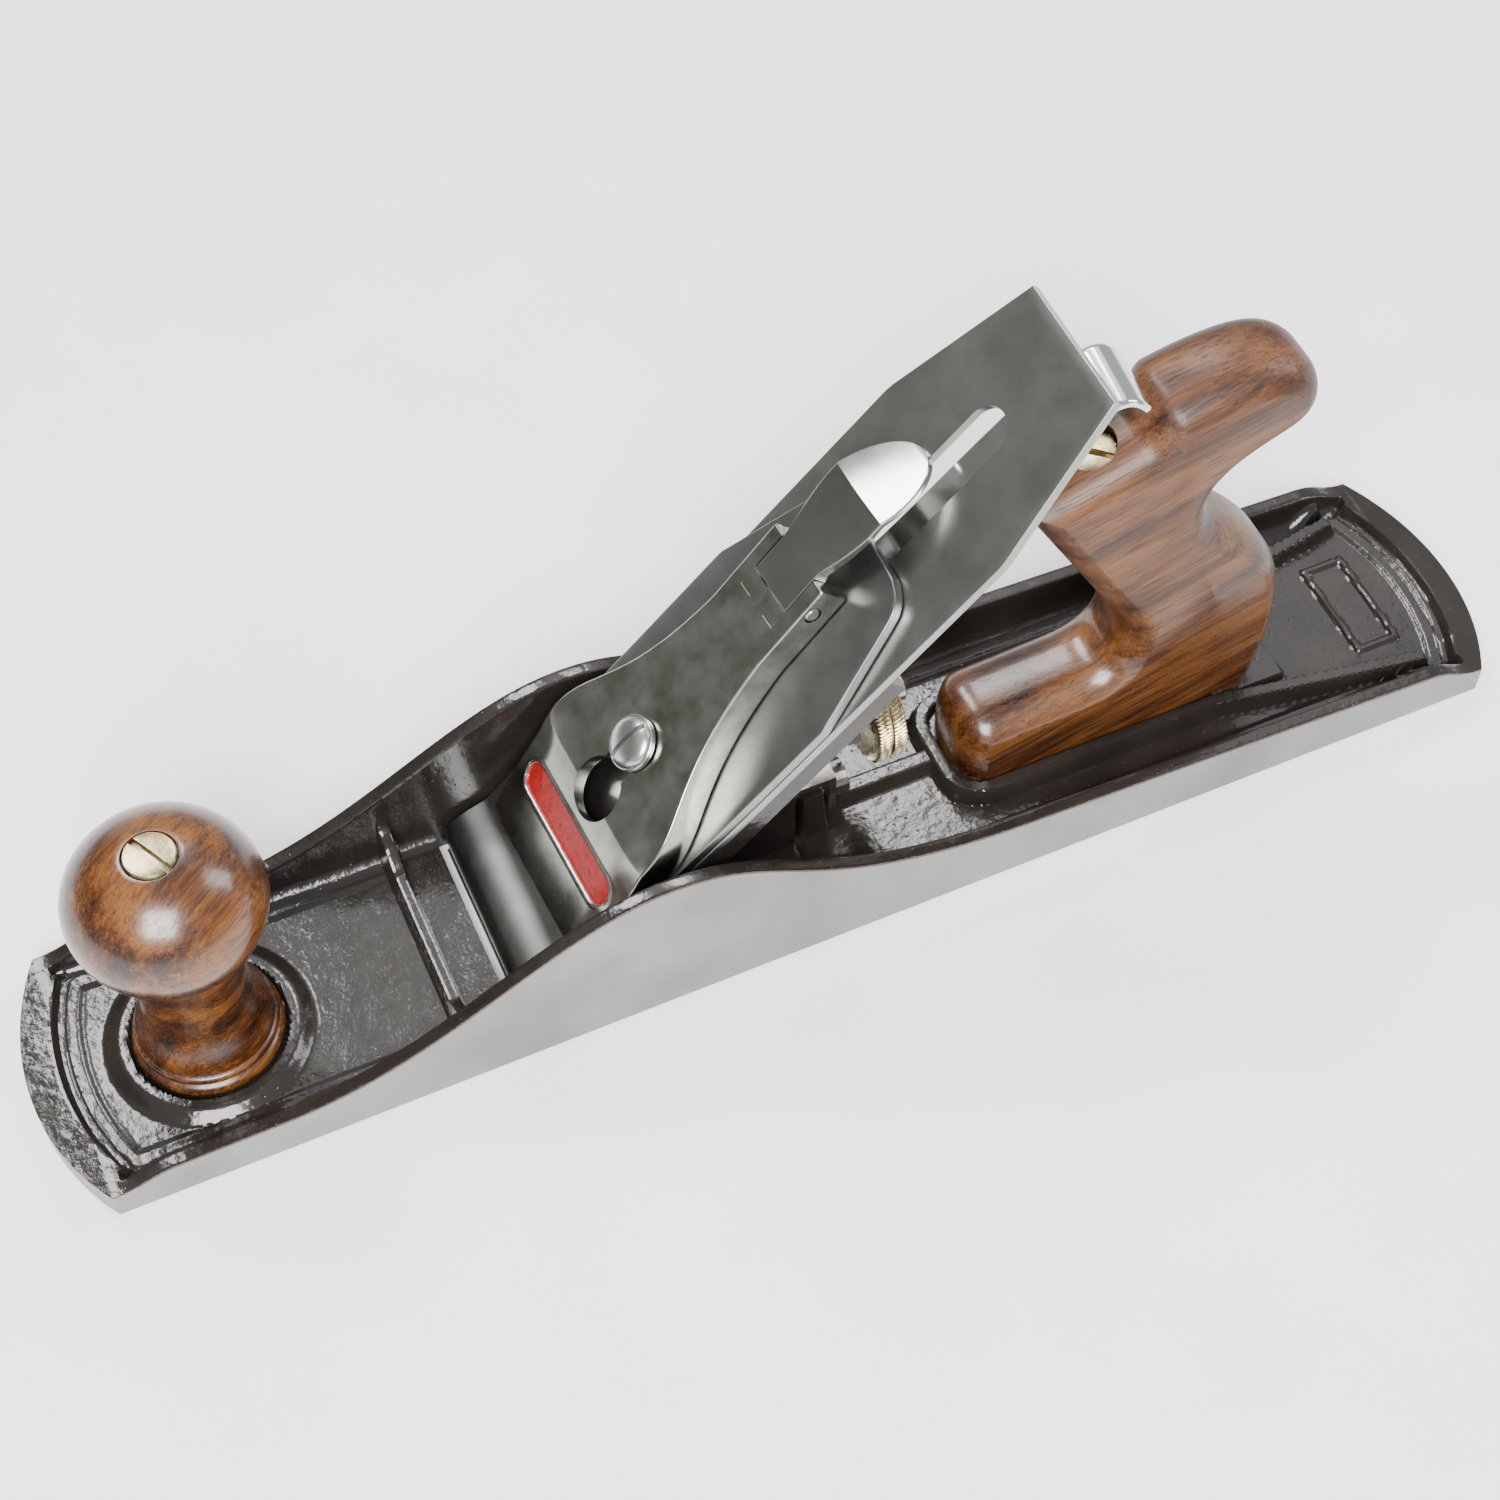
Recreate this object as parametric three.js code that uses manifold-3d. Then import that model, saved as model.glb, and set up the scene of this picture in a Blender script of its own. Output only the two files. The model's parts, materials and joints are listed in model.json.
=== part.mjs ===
// Hand plane: a metal bench plane with an adjustable frog, a wooden knob and a wooden tote.
// Millimetres. Origin at the middle of the sole's underside, toe towards -X, heel towards +X,
// far side towards +Y, +Z up.

import * as THREE from 'three';
import { mergeVertices } from 'three/addons/utils/BufferGeometryUtils.js';
import Module from 'manifold-3d';

const wasm = await Module();
wasm.setup();

// ---- driving dimensions -------------------------------------------------------------------

const GAP = 0.3; // between pieces that rest on or fit in each other
const EPS = 0.01; // overlap that makes two joined shapes one
const OVER = 2; // how far a cutting shape runs past what it cuts
const DRIVE_DEPTH = 1.4; // of the slots in the screws' heads
const DRIVE_HALF = 0.6;

// casting
const LENGTH = 355.6;
const WIDTH = 63.5;
const FLOOR = 4.5;
const CHEEK_WALL = 3.6;
const END_RADIUS = 57.3;
const RIM = 7;
const TOE_RIM_HEIGHT = 6.3;
const HEEL_RIM_HEIGHT = 6;
const END_HEIGHT = 7.7;
const TOE_WALL_HEIGHT = 11.2;
const HEEL_WALL_HEIGHT = 12.6;
const WALL_RAMP = 16; // length of the ramp from an end corner up to the wall
const PEAK_HEIGHT = 45;
const PEAK_BEHIND_MOUTH = 33.5;
const RISE_LENGTH = 90; // from the low toe wall up to the peak
const FALL_LENGTH = 86; // from the peak down to the rear shoulder
const SHOULDER_HEIGHT = 17.2;
const RIB_WIDTH = 3.4;
const RIB_HEIGHT = 8.6; // top of the rear ribs above the sole's underside
const CROSS_RIB_HEIGHT = 10.5;
const CROSS_RIB_AHEAD = 13; // from the mouth line to the rib ahead of it
const MOUTH_PLATE_HEIGHT = 6.5;
const TOTE_SEAT_HEIGHT = 6.4;
const LABEL_LENGTH = 8;
const LABEL_WIDTH = 24;
const LABEL_DEPTH = 0.6;
const LABEL_FROM_HEEL = 26.3;

// mouth and bed
const MOUTH_FROM_TOE = 104.3;
const BED_ANGLE = THREE.MathUtils.degToRad(45);
const MOUTH_AHEAD = 2;
const MOUTH_SIDE_GAP = 0.5; // from the mouth's ends to the cheeks
const BED_RELIEF = 1.2; // from the blade's back to the mouth's sloping rear wall

// blade and cap iron
const BLADE_SIDE_GAP = 2.15;
const BLADE_THICKNESS = 2.2;
const BLADE_LENGTH = 190.9;
const BLADE_RETRACTION = 0.5; // how far the edge stands back from the sole, along the bed
const BLADE_TOP_SHARE = 0.66; // top edge's width as a share of the blade's width
const BLADE_SHOULDER = 37.7; // length of the tapering top
const BEVEL_LENGTH = 5;
const SLOT_WIDTH = 11;
const SLOT_START = 52;
const SLOT_END = 171.4;
const CAP_IRON_START = 1.9;
const CAP_IRON_END = 133.3;
const CAP_IRON_SHOULDER = 102;
const CAP_IRON_TOP_HALF = 18.3;
const CAP_IRON_THICKNESS = 2.5;
const HUMP_LENGTH = 17;
const HUMP_RISE = 2.6;

// screws through the irons, placed along the bed from the sole
const CAP_SCREW_AT = 66;
const CAP_SCREW_SHANK = 3.5;
const CAP_SCREW_HEAD = 6.2;
const CAP_SCREW_HEAD_HEIGHT = 3.4;
const IRON_SCREW_AT = 80;
const IRON_SCREW_SHANK = 3.6;
const IRON_SCREW_HEAD = 6;
const IRON_SCREW_HEAD_HEIGHT = 3.1;

// frog
const FROG_SIDE_GAP = 1; // how much narrower than the blade the frog is, each side
const FROG_TOP = 118;
const FROG_PLATE = 6;
const FROG_LENGTH = 70.5; // from the mouth line to the frog's rear face
const FROG_TRAVEL = 1;
const SEAT_HEIGHT = 8;
const FLANGE = 5;
const FROG_RIB_INNER = 9;
const FROG_RIB_OUTER = 13;
const CHANNEL_HALF = 6.6;
const CHANNEL_START = 72.6;
const CHANNEL_END = 102.8;
const FROG_SCREW_AT = 35.5; // behind the mouth line
const FROG_SCREW_SIDE = 18.3;
const FROG_SCREW_SHANK = 2.4;
const FROG_SCREW_HEAD = 4.4;
const FROG_SCREW_HEAD_HEIGHT = 3.6;
const WASHER_THICKNESS = 1.3;
const LUG_AT = 76;
const LUG_LENGTH = 5;
const LUG_HEIGHT = 18;
const LUG_HALF = 6;
const ADJUST_SHANK = 2.6;
const ADJUST_HEIGHT = 13.4;
const CLIP_THICKNESS = 1.6;
const CLIP_HALF = 5;
const CLIP_SCREW_SHANK = 1.6;
const CLIP_SCREW_HEAD = 3.2;
const CLIP_SCREW_HEAD_HEIGHT = 1.9;
const CLIP_CLEARANCE = 1.9; // from the lug to the clip's lower leg
const ADJUST_GROOVE = 0.8; // depth of the adjusting screw's groove
const ADJUST_HEAD = 4.2;
const ADJUST_HEAD_LENGTH = 3.4;

// depth adjuster
const WHEEL_AT = 90.3; // front face of the knurled disc, behind the mouth line
const WHEEL_RADIUS = 14.1;
const WHEEL_WIDTH = 7;
const WHEEL_HEIGHT = 39.8;
const GROOVE_WIDTH = 6.5;
const GROOVE_RADIUS = 5.2;
const COLLAR_RADIUS = 8.6;
const COLLAR_WIDTH = 2;
const STUD_RADIUS = 3;
const STUD_PAST_WHEEL = 5;
const STUD_IN_FROG = 9.5;
const YOKE_AT = 98;
const YOKE_DEPTH = 12; // of its pin below the blade's face
const YOKE_HUB = 4.8;
const PRONG_THICKNESS = 2.6;
const PRONG_WIDTH = 3;
const YOKE_PIN_RADIUS = 1.8;

// lateral adjuster
const LATERAL_AT = 108;
const LATERAL_LENGTH = 86;
const LATERAL_THICKNESS = 1.6;
const LATERAL_HALF = 4.6;
const LATERAL_EYE = 5.8; // radius of its round lower end
const LATERAL_SWING = THREE.MathUtils.degToRad(-5.2);
const ROLLER_AHEAD = 9;
const ROLLER_RADIUS = 4.2;
const TAB_HALF = 7.6;
const LATERAL_PIN_RADIUS = 2;
const LATERAL_PIN_HEAD = 3.4;
const ROLLER_PIN_RADIUS = 1.6;

// lever cap
const CAP_YAW = THREE.MathUtils.degToRad(3.6);
const CAP_SIDE_GAP = 1.4; // how much narrower than the blade the cap's nose is, each side
const CAP_NOSE = 22;
const CAP_NOSE_BEND = 50;
const CAP_TOP = 121.5;
const CAP_HEIGHT = 11;
const CAP_WALL = 3.4;
const CAP_NECK_HALF = 10.6;
const EAR_WIDTH = 3.6;
const EAR_LENGTH = 14;
const EAR_CLEARANCE = 1.2; // from the ears' ends to the cam lever's thumb plate
const KEYHOLE_DROP = 14;
const KEYHOLE_RADIUS = 7.2;
const CAM_PIN_AT = 115.5;
const CAM_PIN_HEIGHT = 8;
const CAM_PIN_RADIUS = 1.6;
const CAM_CREASE = 140; // up the bed, where the thumb plate bends down
const CAM_CREASE_DROP = 0.6; // from the cap's face to the crease
const CAM_TIP = 16; // from the crease to the tip
const CAM_BEND = THREE.MathUtils.degToRad(28);
const CAM_PLATE = 1.5;
const CAM_HALF = 9.6;
const SPRING_THICKNESS = 0.8;
const SPRING_HALF = 4.6;
const RIVET_AT = 84;
const RIVET_RADIUS = 1.5;
const RIVET_HEAD = 2.8;

// knob
const KNOB_FROM_TOE = 40.3;
const KNOB_TOP = 76.2;
const KNOB_BALL_RADIUS = 21.1;
const KNOB_BALL_RISE = 17.5;
const KNOB_BASE_RADIUS = 16.7;
const KNOB_NECK_RADIUS = 11.8;
const NUT_RADIUS = 5.6;
const NUT_HEAD = 2.4;
const BARREL_RADIUS = 4;
const BARREL_LENGTH = 20;
const ROD_RADIUS = 2.7;
const ROD_IN_SOLE = 2.5;
const KNOB_RING_WIDTH = 2;

// tote
const TOTE_BEHIND_MOUTH = 114.8;
const TOTE_THICKNESS = 23;
const TOTE_SIDE_GAP = 0.6;
const TOTE_ROUNDING = 7;
const TOTE_INSET_SHARE = 0.8; // how much of the rounding shows from the side
const TOTE_RAKE = THREE.MathUtils.degToRad(71);
const TOTE_NUT_X = 28.5; // along the tote from the front of its foot
const TOTE_NUT_Z = 99.4;
const RIB_SPREAD_AT = 65; // along the tote, where the side ribs start to spread
const RIB_END_FROM_HEEL = 20;
const RIB_END_SIDE = 22.5;

// ---- places worked out from them ----------------------------------------------------------

const TOE = -LENGTH / 2;
const HEEL = LENGTH / 2;
const MOUTH = TOE + MOUTH_FROM_TOE;
const KNOB_X = TOE + KNOB_FROM_TOE;
const TOTE_X = MOUTH + TOTE_BEHIND_MOUTH;
const INNER_HALF = WIDTH / 2 - CHEEK_WALL;
const BLADE_HALF = INNER_HALF - BLADE_SIDE_GAP;
const FROG_HALF = BLADE_HALF - FROG_SIDE_GAP;
const CAP_HALF = BLADE_HALF - CAP_SIDE_GAP;
const BED_SURFACE = -(BLADE_THICKNESS + GAP);
const PLATE_BACK = BED_SURFACE - FROG_PLATE;
const CAP_IRON_FACE = GAP + CAP_IRON_THICKNESS;
const FROG_REAR = MOUTH + FROG_LENGTH;
const FROG_BOTTOM = SEAT_HEIGHT + GAP;
const FLANGE_TOP = FROG_BOTTOM + FLANGE;
const WHEEL_X = MOUTH + WHEEL_AT;
const GROOVE_X = WHEEL_X - GROOVE_WIDTH;
const TOTE_Z = TOTE_SEAT_HEIGHT + GAP;

// ---- solids -------------------------------------------------------------------------------

function solid(geometry, place) {
  if (place) geometry.applyMatrix4(place);
  geometry.deleteAttribute('normal');
  geometry.deleteAttribute('uv');
  const merged = mergeVertices(geometry, 1e-5);
  return new wasm.Manifold(new wasm.Mesh({
    numProp: 3,
    vertProperties: merged.attributes.position.array,
    triVerts: new Uint32Array(merged.index.array),
  }));
}

function join(first, ...others) {
  return others.reduce((whole, piece) => whole.add(piece), first);
}

function cut(body, ...tools) {
  return tools.reduce((rest, tool) => rest.subtract(tool), body);
}

function box(x0, x1, y0, y1, z0, z1, place) {
  const geometry = new THREE.BoxGeometry(x1 - x0, y1 - y0, z1 - z0);
  geometry.translate((x0 + x1) / 2, (y0 + y1) / 2, (z0 + z1) / 2);
  return solid(geometry, place);
}

// An outline in X and Y, extruded from z0 to z1.
function slab(shape, z0, z1, place, curveSegments = 8) {
  const geometry = new THREE.ExtrudeGeometry(shape, { depth: z1 - z0, bevelEnabled: false, curveSegments });
  geometry.translate(0, 0, z0);
  return solid(geometry, place);
}

// An outline in X and Z, extruded from y0 to y1.
function prism(shape, y0, y1, place, curveSegments = 8) {
  const geometry = new THREE.ExtrudeGeometry(shape, { depth: y1 - y0, bevelEnabled: false, curveSegments });
  geometry.rotateX(Math.PI / 2);
  geometry.translate(0, y1, 0);
  return solid(geometry, place);
}

function polygon(points) {
  return new THREE.Shape(points.map(([x, y]) => new THREE.Vector2(x, y)));
}

// A round bar between two points.
function bar(radius, from, to, sides = 16) {
  const start = new THREE.Vector3(...from);
  const run = new THREE.Vector3(...to).sub(start);
  const geometry = new THREE.CylinderGeometry(radius, radius, run.length(), sides);
  geometry.translate(0, run.length() / 2, 0);
  const up = new THREE.Vector3(0, 1, 0);
  const turn = new THREE.Quaternion().setFromUnitVectors(up, run.clone().normalize());
  geometry.applyQuaternion(turn);
  geometry.translate(start.x, start.y, start.z);
  return solid(geometry);
}

// A profile of [radius, height] turned about +Z at x, y.
function turned(profile, x, y, sides = 32) {
  const geometry = new THREE.LatheGeometry(profile.map(([r, h]) => new THREE.Vector2(r, h)), sides);
  geometry.rotateX(Math.PI / 2);
  geometry.translate(x, y, 0);
  return solid(geometry);
}

// A slot with round ends along X, between two centres, cut from z0 to z1.
function slotTool(x0, x1, y, radius, z0, z1) {
  const shape = new THREE.Shape();
  shape.absarc(x1, y, radius, -Math.PI / 2, Math.PI / 2, false);
  shape.absarc(x0, y, radius, Math.PI / 2, 3 * Math.PI / 2, false);
  shape.closePath();
  return slab(shape, z0, z1);
}

function screwSlot(x, z0, z1) {
  return box(x - 20, x + 20, -DRIVE_HALF, DRIVE_HALF, z0, z1);
}

// ---- frames -------------------------------------------------------------------------------

// In the bed's frame X runs up the bed from the sole, Z stands out of the blade's face.
const bedFrame = new THREE.Matrix4().makeRotationY(-BED_ANGLE).setPosition(MOUTH, 0, 0);

function onBed(s, y, n) {
  return new THREE.Vector3(s, y, n).applyMatrix4(bedFrame).toArray();
}

function bedGroup() {
  const group = new THREE.Group();
  group.position.set(MOUTH, 0, 0);
  group.rotation.y = -BED_ANGLE;
  return group;
}

// A group inside the bed's frame, turned about a point on the bed's centre line.
function turnedOnBed(at, angle) {
  const group = new THREE.Group();
  group.position.set(at, 0, 0);
  group.rotation.z = angle;
  const inner = new THREE.Group();
  inner.position.set(-at, 0, 0);
  group.add(inner);
  return { group, inner };
}

// ---- looks --------------------------------------------------------------------------------

const looks = {
  japanned: { color: 0x2b2320, roughness: 0.35, metalness: 0.2 },
  steel: { color: 0x8d918f, roughness: 0.35, metalness: 1 },
  nickel: { color: 0xc4c8c8, roughness: 0.15, metalness: 1 },
  brass: { color: 0xc9b27a, roughness: 0.3, metalness: 1 },
  wood: { color: 0x8a4a20, roughness: 0.3, metalness: 0 },
};

function piece(name, body, look) {
  const { vertProperties, triVerts, numProp } = body.getMesh();
  const positions = new Float32Array(vertProperties.length / numProp * 3);
  for (let i = 0; i < positions.length / 3; i += 1) {
    positions.set(vertProperties.subarray(i * numProp, i * numProp + 3), i * 3);
  }
  const geometry = new THREE.BufferGeometry();
  geometry.setAttribute('position', new THREE.BufferAttribute(positions, 3));
  geometry.setIndex(new THREE.BufferAttribute(new Uint32Array(triVerts), 1));
  geometry.computeVertexNormals();
  const mesh = new THREE.Mesh(geometry, new THREE.MeshStandardMaterial(looks[look]));
  mesh.name = name;
  return mesh;
}

// ---- casting ------------------------------------------------------------------------------

// The sole seen from above: straight sides, and ends that are arcs of one radius.
function planOutline(half, inset) {
  const radius = END_RADIUS - inset;
  const angle = Math.asin(half / radius);
  const centre = LENGTH / 2 - END_RADIUS;
  const shape = new THREE.Shape();
  shape.absarc(centre, 0, radius, -angle, angle, false);
  shape.absarc(-centre, 0, radius, Math.PI - angle, Math.PI + angle, false);
  shape.closePath();
  return shape;
}

function cornerSetback() {
  return END_RADIUS - Math.sqrt(END_RADIUS ** 2 - (WIDTH / 2) ** 2);
}

// The casting seen from the side: low walls that sweep up beside the mouth.
function sideOutline() {
  const toeCorner = TOE + cornerSetback();
  const heelCorner = HEEL - cornerSetback();
  const peak = MOUTH + PEAK_BEHIND_MOUTH;
  const rise = peak - RISE_LENGTH;
  const shoulder = peak + FALL_LENGTH;
  const shape = new THREE.Shape();
  shape.moveTo(TOE, 0);
  shape.lineTo(HEEL, 0);
  shape.lineTo(HEEL, HEEL_RIM_HEIGHT);
  shape.lineTo(heelCorner, END_HEIGHT);
  shape.bezierCurveTo(
    heelCorner - WALL_RAMP * 0.4, END_HEIGHT,
    heelCorner - WALL_RAMP * 0.5, HEEL_WALL_HEIGHT,
    heelCorner - WALL_RAMP, HEEL_WALL_HEIGHT,
  );
  shape.quadraticCurveTo((heelCorner + shoulder) / 2, HEEL_WALL_HEIGHT * 1.17, shoulder, SHOULDER_HEIGHT);
  shape.bezierCurveTo(
    peak + FALL_LENGTH * 0.35, SHOULDER_HEIGHT * 1.16,
    peak + FALL_LENGTH * 0.33, PEAK_HEIGHT,
    peak, PEAK_HEIGHT,
  );
  shape.bezierCurveTo(
    peak - RISE_LENGTH * 0.31, PEAK_HEIGHT,
    peak - RISE_LENGTH * 0.58, TOE_WALL_HEIGHT * 1.08,
    rise, TOE_WALL_HEIGHT * 1.04,
  );
  shape.lineTo(toeCorner + WALL_RAMP, TOE_WALL_HEIGHT);
  shape.bezierCurveTo(
    toeCorner + WALL_RAMP * 0.5, TOE_WALL_HEIGHT,
    toeCorner + WALL_RAMP * 0.4, END_HEIGHT,
    toeCorner, END_HEIGHT,
  );
  shape.lineTo(TOE, TOE_RIM_HEIGHT);
  shape.closePath();
  return shape;
}

function castingShell() {
  const outer = slab(planOutline(WIDTH / 2, 0), 0, PEAK_HEIGHT + OVER, undefined, 12);
  const profile = prism(sideOutline(), -WIDTH, WIDTH, undefined, 10);
  const pocket = slab(planOutline(INNER_HALF, RIM), FLOOR, PEAK_HEIGHT + 2 * OVER, undefined, 12);
  return outer.intersect(profile).subtract(pocket);
}

// A straight rib of the given width between two points of the floor.
function rib(x0, y0, x1, y1, width, top) {
  const along = new THREE.Vector2(x1 - x0, y1 - y0).normalize();
  const side = new THREE.Vector2(-along.y, along.x).multiplyScalar(width / 2);
  return slab(polygon([
    [x0 + side.x, y0 + side.y],
    [x0 - side.x, y0 - side.y],
    [x1 - side.x, y1 - side.y],
    [x1 + side.x, y1 + side.y],
  ]), FLOOR - EPS, top);
}

// The tote's foot seen from above with a margin all round, open towards the heel.
function footOutline(margin, x1) {
  const half = TOTE_THICKNESS / 2 + margin;
  const front = TOTE_X - margin;
  const corner = TOTE_ROUNDING * TOTE_INSET_SHARE + margin;
  const shape = new THREE.Shape();
  shape.absarc(front + corner, half - corner, corner, Math.PI / 2, Math.PI, false);
  shape.absarc(front + corner, corner - half, corner, Math.PI, 3 * Math.PI / 2, false);
  shape.lineTo(x1, -half);
  shape.lineTo(x1, half);
  shape.closePath();
  return shape;
}

// The raised rim that the tote's foot stands in, and the ribs that spread behind it.
function toteSeat() {
  const inner = TOTE_THICKNESS / 2 + TOTE_SIDE_GAP;
  const spread = TOTE_X + RIB_SPREAD_AT;
  const end = HEEL - RIB_END_FROM_HEEL;
  const wall = slab(footOutline(TOTE_SIDE_GAP + RIB_WIDTH, spread), FLOOR - EPS, RIB_HEIGHT);
  const well = slab(footOutline(TOTE_SIDE_GAP, spread + OVER), TOTE_SEAT_HEIGHT, RIB_HEIGHT + OVER);
  const seat = box(spread - OVER, TOTE_X + 84, -inner, inner, FLOOR - EPS, TOTE_SEAT_HEIGHT);
  const middle = inner + RIB_WIDTH / 2;
  const ribs = [-1, 1].map((side) => rib(
    spread - 1, side * middle, end, side * RIB_END_SIDE, RIB_WIDTH, RIB_HEIGHT,
  ));
  return join(cut(wall, well), cut(seat, well), ...ribs.map((one) => cut(one, well)));
}

function knobRing() {
  const inner = KNOB_BASE_RADIUS + 0.6;
  const outer = inner + KNOB_RING_WIDTH;
  const top = FLOOR + 2.2;
  return turned([
    [inner, FLOOR - EPS], [outer + 0.8, FLOOR - EPS], [outer, top], [inner, top], [inner, FLOOR - EPS],
  ], KNOB_X, 0);
}

function mouthTool() {
  const half = INNER_HALF - MOUTH_SIDE_GAP;
  const relief = (BLADE_THICKNESS + BED_RELIEF) / Math.sin(BED_ANGLE);
  const slope = 1 / Math.tan(BED_ANGLE);
  const top = SEAT_HEIGHT + OVER;
  return prism(polygon([
    [MOUTH - MOUTH_AHEAD, -OVER],
    [MOUTH + relief - OVER * slope, -OVER],
    [MOUTH + relief + top * slope, top],
    [MOUTH - MOUTH_AHEAD, top],
  ]), -half, half);
}

function frogScrewSpots() {
  return [-1, 1].map((side) => [MOUTH + FROG_SCREW_AT, side * FROG_SCREW_SIDE]);
}

function toteRodAxis() {
  const lean = 1 / Math.tan(TOTE_RAKE);
  const at = (z) => [TOTE_X + TOTE_NUT_X + (TOTE_NUT_Z - z) * lean, 0, z];
  const up = new THREE.Vector3(-Math.cos(TOTE_RAKE), 0, Math.sin(TOTE_RAKE));
  return { at, up };
}

function soleCasting() {
  const wallReach = INNER_HALF + CHEEK_WALL / 2;
  const crossX = MOUTH - CROSS_RIB_AHEAD;
  const keelStart = MOUTH + LUG_AT + LUG_LENGTH + 10;
  const body = join(
    castingShell(),
    rib(crossX, -wallReach, crossX, wallReach, 3, CROSS_RIB_HEIGHT),
    box(crossX, MOUTH + 6, -wallReach, wallReach, FLOOR - EPS, MOUTH_PLATE_HEIGHT),
    box(MOUTH + 5, MOUTH + FROG_LENGTH + FROG_TRAVEL, -FROG_HALF, FROG_HALF, FLOOR - EPS, SEAT_HEIGHT),
    box(MOUTH + LUG_AT, MOUTH + LUG_AT + LUG_LENGTH, -LUG_HALF, LUG_HALF, FLOOR - EPS, LUG_HEIGHT),
    rib(keelStart, 0, TOTE_X - 2, 0, 4, RIB_HEIGHT - 1),
    knobRing(),
    toteSeat(),
  );
  const label = HEEL - LABEL_FROM_HEEL;
  const rod = toteRodAxis();
  return cut(
    body,
    mouthTool(),
    box(label - LABEL_LENGTH / 2, label + LABEL_LENGTH / 2, -LABEL_WIDTH / 2, LABEL_WIDTH / 2,
      FLOOR - LABEL_DEPTH, FLOOR + OVER),
    bar(ROD_RADIUS + GAP, [KNOB_X, 0, ROD_IN_SOLE - GAP], [KNOB_X, 0, FLOOR + OVER]),
    bar(ROD_RADIUS + GAP, rod.at(ROD_IN_SOLE - GAP), rod.at(TOTE_SEAT_HEIGHT + OVER)),
    bar(ADJUST_SHANK + GAP, [MOUTH + LUG_AT - OVER, 0, ADJUST_HEIGHT],
      [MOUTH + LUG_AT + LUG_LENGTH + OVER, 0, ADJUST_HEIGHT]),
    ...frogScrewSpots().map(([x, y]) => bar(FROG_SCREW_SHANK + GAP, [x, y, ROD_IN_SOLE - GAP],
      [x, y, SEAT_HEIGHT + OVER])),
  );
}

// ---- frog and what holds it ---------------------------------------------------------------

// One of the two side ribs that carry the bed plate, seen from the side.
function frogRibOutline() {
  const foot = onBed(FROG_BOTTOM / Math.sin(BED_ANGLE) + 4, 0, BED_SURFACE - 1);
  const top = onBed(YOKE_AT + 9, 0, BED_SURFACE - 1);
  const back = onBed(YOKE_AT + 9, 0, -YOKE_DEPTH - 5.5);
  return polygon([
    [foot[0], FROG_BOTTOM], [FROG_REAR, FROG_BOTTOM], [FROG_REAR, WHEEL_HEIGHT - 2],
    [back[0], back[2]], [top[0], top[2]], [foot[0], foot[2]],
  ]);
}

function frog() {
  const plate = box(8, FROG_TOP, -FROG_HALF, FROG_HALF, PLATE_BACK, BED_SURFACE, bedFrame);
  const flange = box(MOUTH + FROG_BOTTOM, FROG_REAR, -FROG_HALF, FROG_HALF, FROG_BOTTOM, FLANGE_TOP);
  const outline = frogRibOutline();
  const ribs = [
    prism(outline, FROG_RIB_INNER, FROG_RIB_OUTER),
    prism(outline, -FROG_RIB_OUTER, -FROG_RIB_INNER),
  ];
  const boss = box(FROG_REAR - 17, FROG_REAR, -FROG_RIB_INNER - 0.5, FROG_RIB_INNER + 0.5,
    WHEEL_HEIGHT - 8, WHEEL_HEIGHT + 6);
  const web = box(FROG_REAR - 6, FROG_REAR, -FROG_RIB_INNER - 0.5, FROG_RIB_INNER + 0.5,
    FLANGE_TOP - EPS, WHEEL_HEIGHT - 7);
  const screwBoss = bar(CAP_SCREW_SHANK + 3, onBed(CAP_SCREW_AT, 0, PLATE_BACK + 1),
    onBed(CAP_SCREW_AT, 0, PLATE_BACK - 6));
  const body = join(plate, flange, ...ribs, boss, web, screwBoss);
  const pin = onBed(YOKE_AT, 0, -YOKE_DEPTH);
  const clip = clipHeights();
  const channelBack = PLATE_BACK - OVER;
  return cut(
    body,
    box(-20, 220, -WIDTH, WIDTH, BED_SURFACE, 60, bedFrame),
    box(MOUTH - 20, FROG_REAR + 60, -WIDTH, WIDTH, -20, FROG_BOTTOM),
    box(CHANNEL_START, CHANNEL_END, -CHANNEL_HALF, CHANNEL_HALF, channelBack, BED_SURFACE + OVER, bedFrame),
    box(LATERAL_AT - LATERAL_EYE - 2 * GAP, FROG_TOP + OVER, -FROG_RIB_OUTER, FROG_RIB_OUTER,
      BED_SURFACE - GAP - LATERAL_THICKNESS - GAP, BED_SURFACE + OVER, bedFrame),
    bar(CAP_SCREW_SHANK + GAP, onBed(CAP_SCREW_AT, 0, 0), onBed(CAP_SCREW_AT, 0, PLATE_BACK - 6 - OVER)),
    bar(LATERAL_PIN_RADIUS + GAP, onBed(LATERAL_AT, 0, 0), onBed(LATERAL_AT, 0, PLATE_BACK - OVER)),
    bar(YOKE_PIN_RADIUS + GAP, [pin[0], -WIDTH / 2, pin[2]], [pin[0], WIDTH / 2, pin[2]]),
    bar(STUD_RADIUS + GAP, [FROG_REAR - 20, 0, WHEEL_HEIGHT], [FROG_REAR + OVER, 0, WHEEL_HEIGHT]),
    bar(CLIP_SCREW_SHANK + GAP, [FROG_REAR - 7, 0, clip.screw], [FROG_REAR + OVER, 0, clip.screw]),
    ...frogScrewSpots().flatMap(([x, y]) => {
      const [x0, x1] = [x - FROG_TRAVEL, x + FROG_TRAVEL];
      return [
        slotTool(x0, x1, y, FROG_SCREW_SHANK + GAP, FROG_BOTTOM - OVER, FLANGE_TOP + OVER),
        slotTool(x0, x1, y, FROG_SCREW_HEAD + 4 * GAP, FLANGE_TOP, FLANGE_TOP + 50),
      ];
    }),
  );
}

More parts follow.
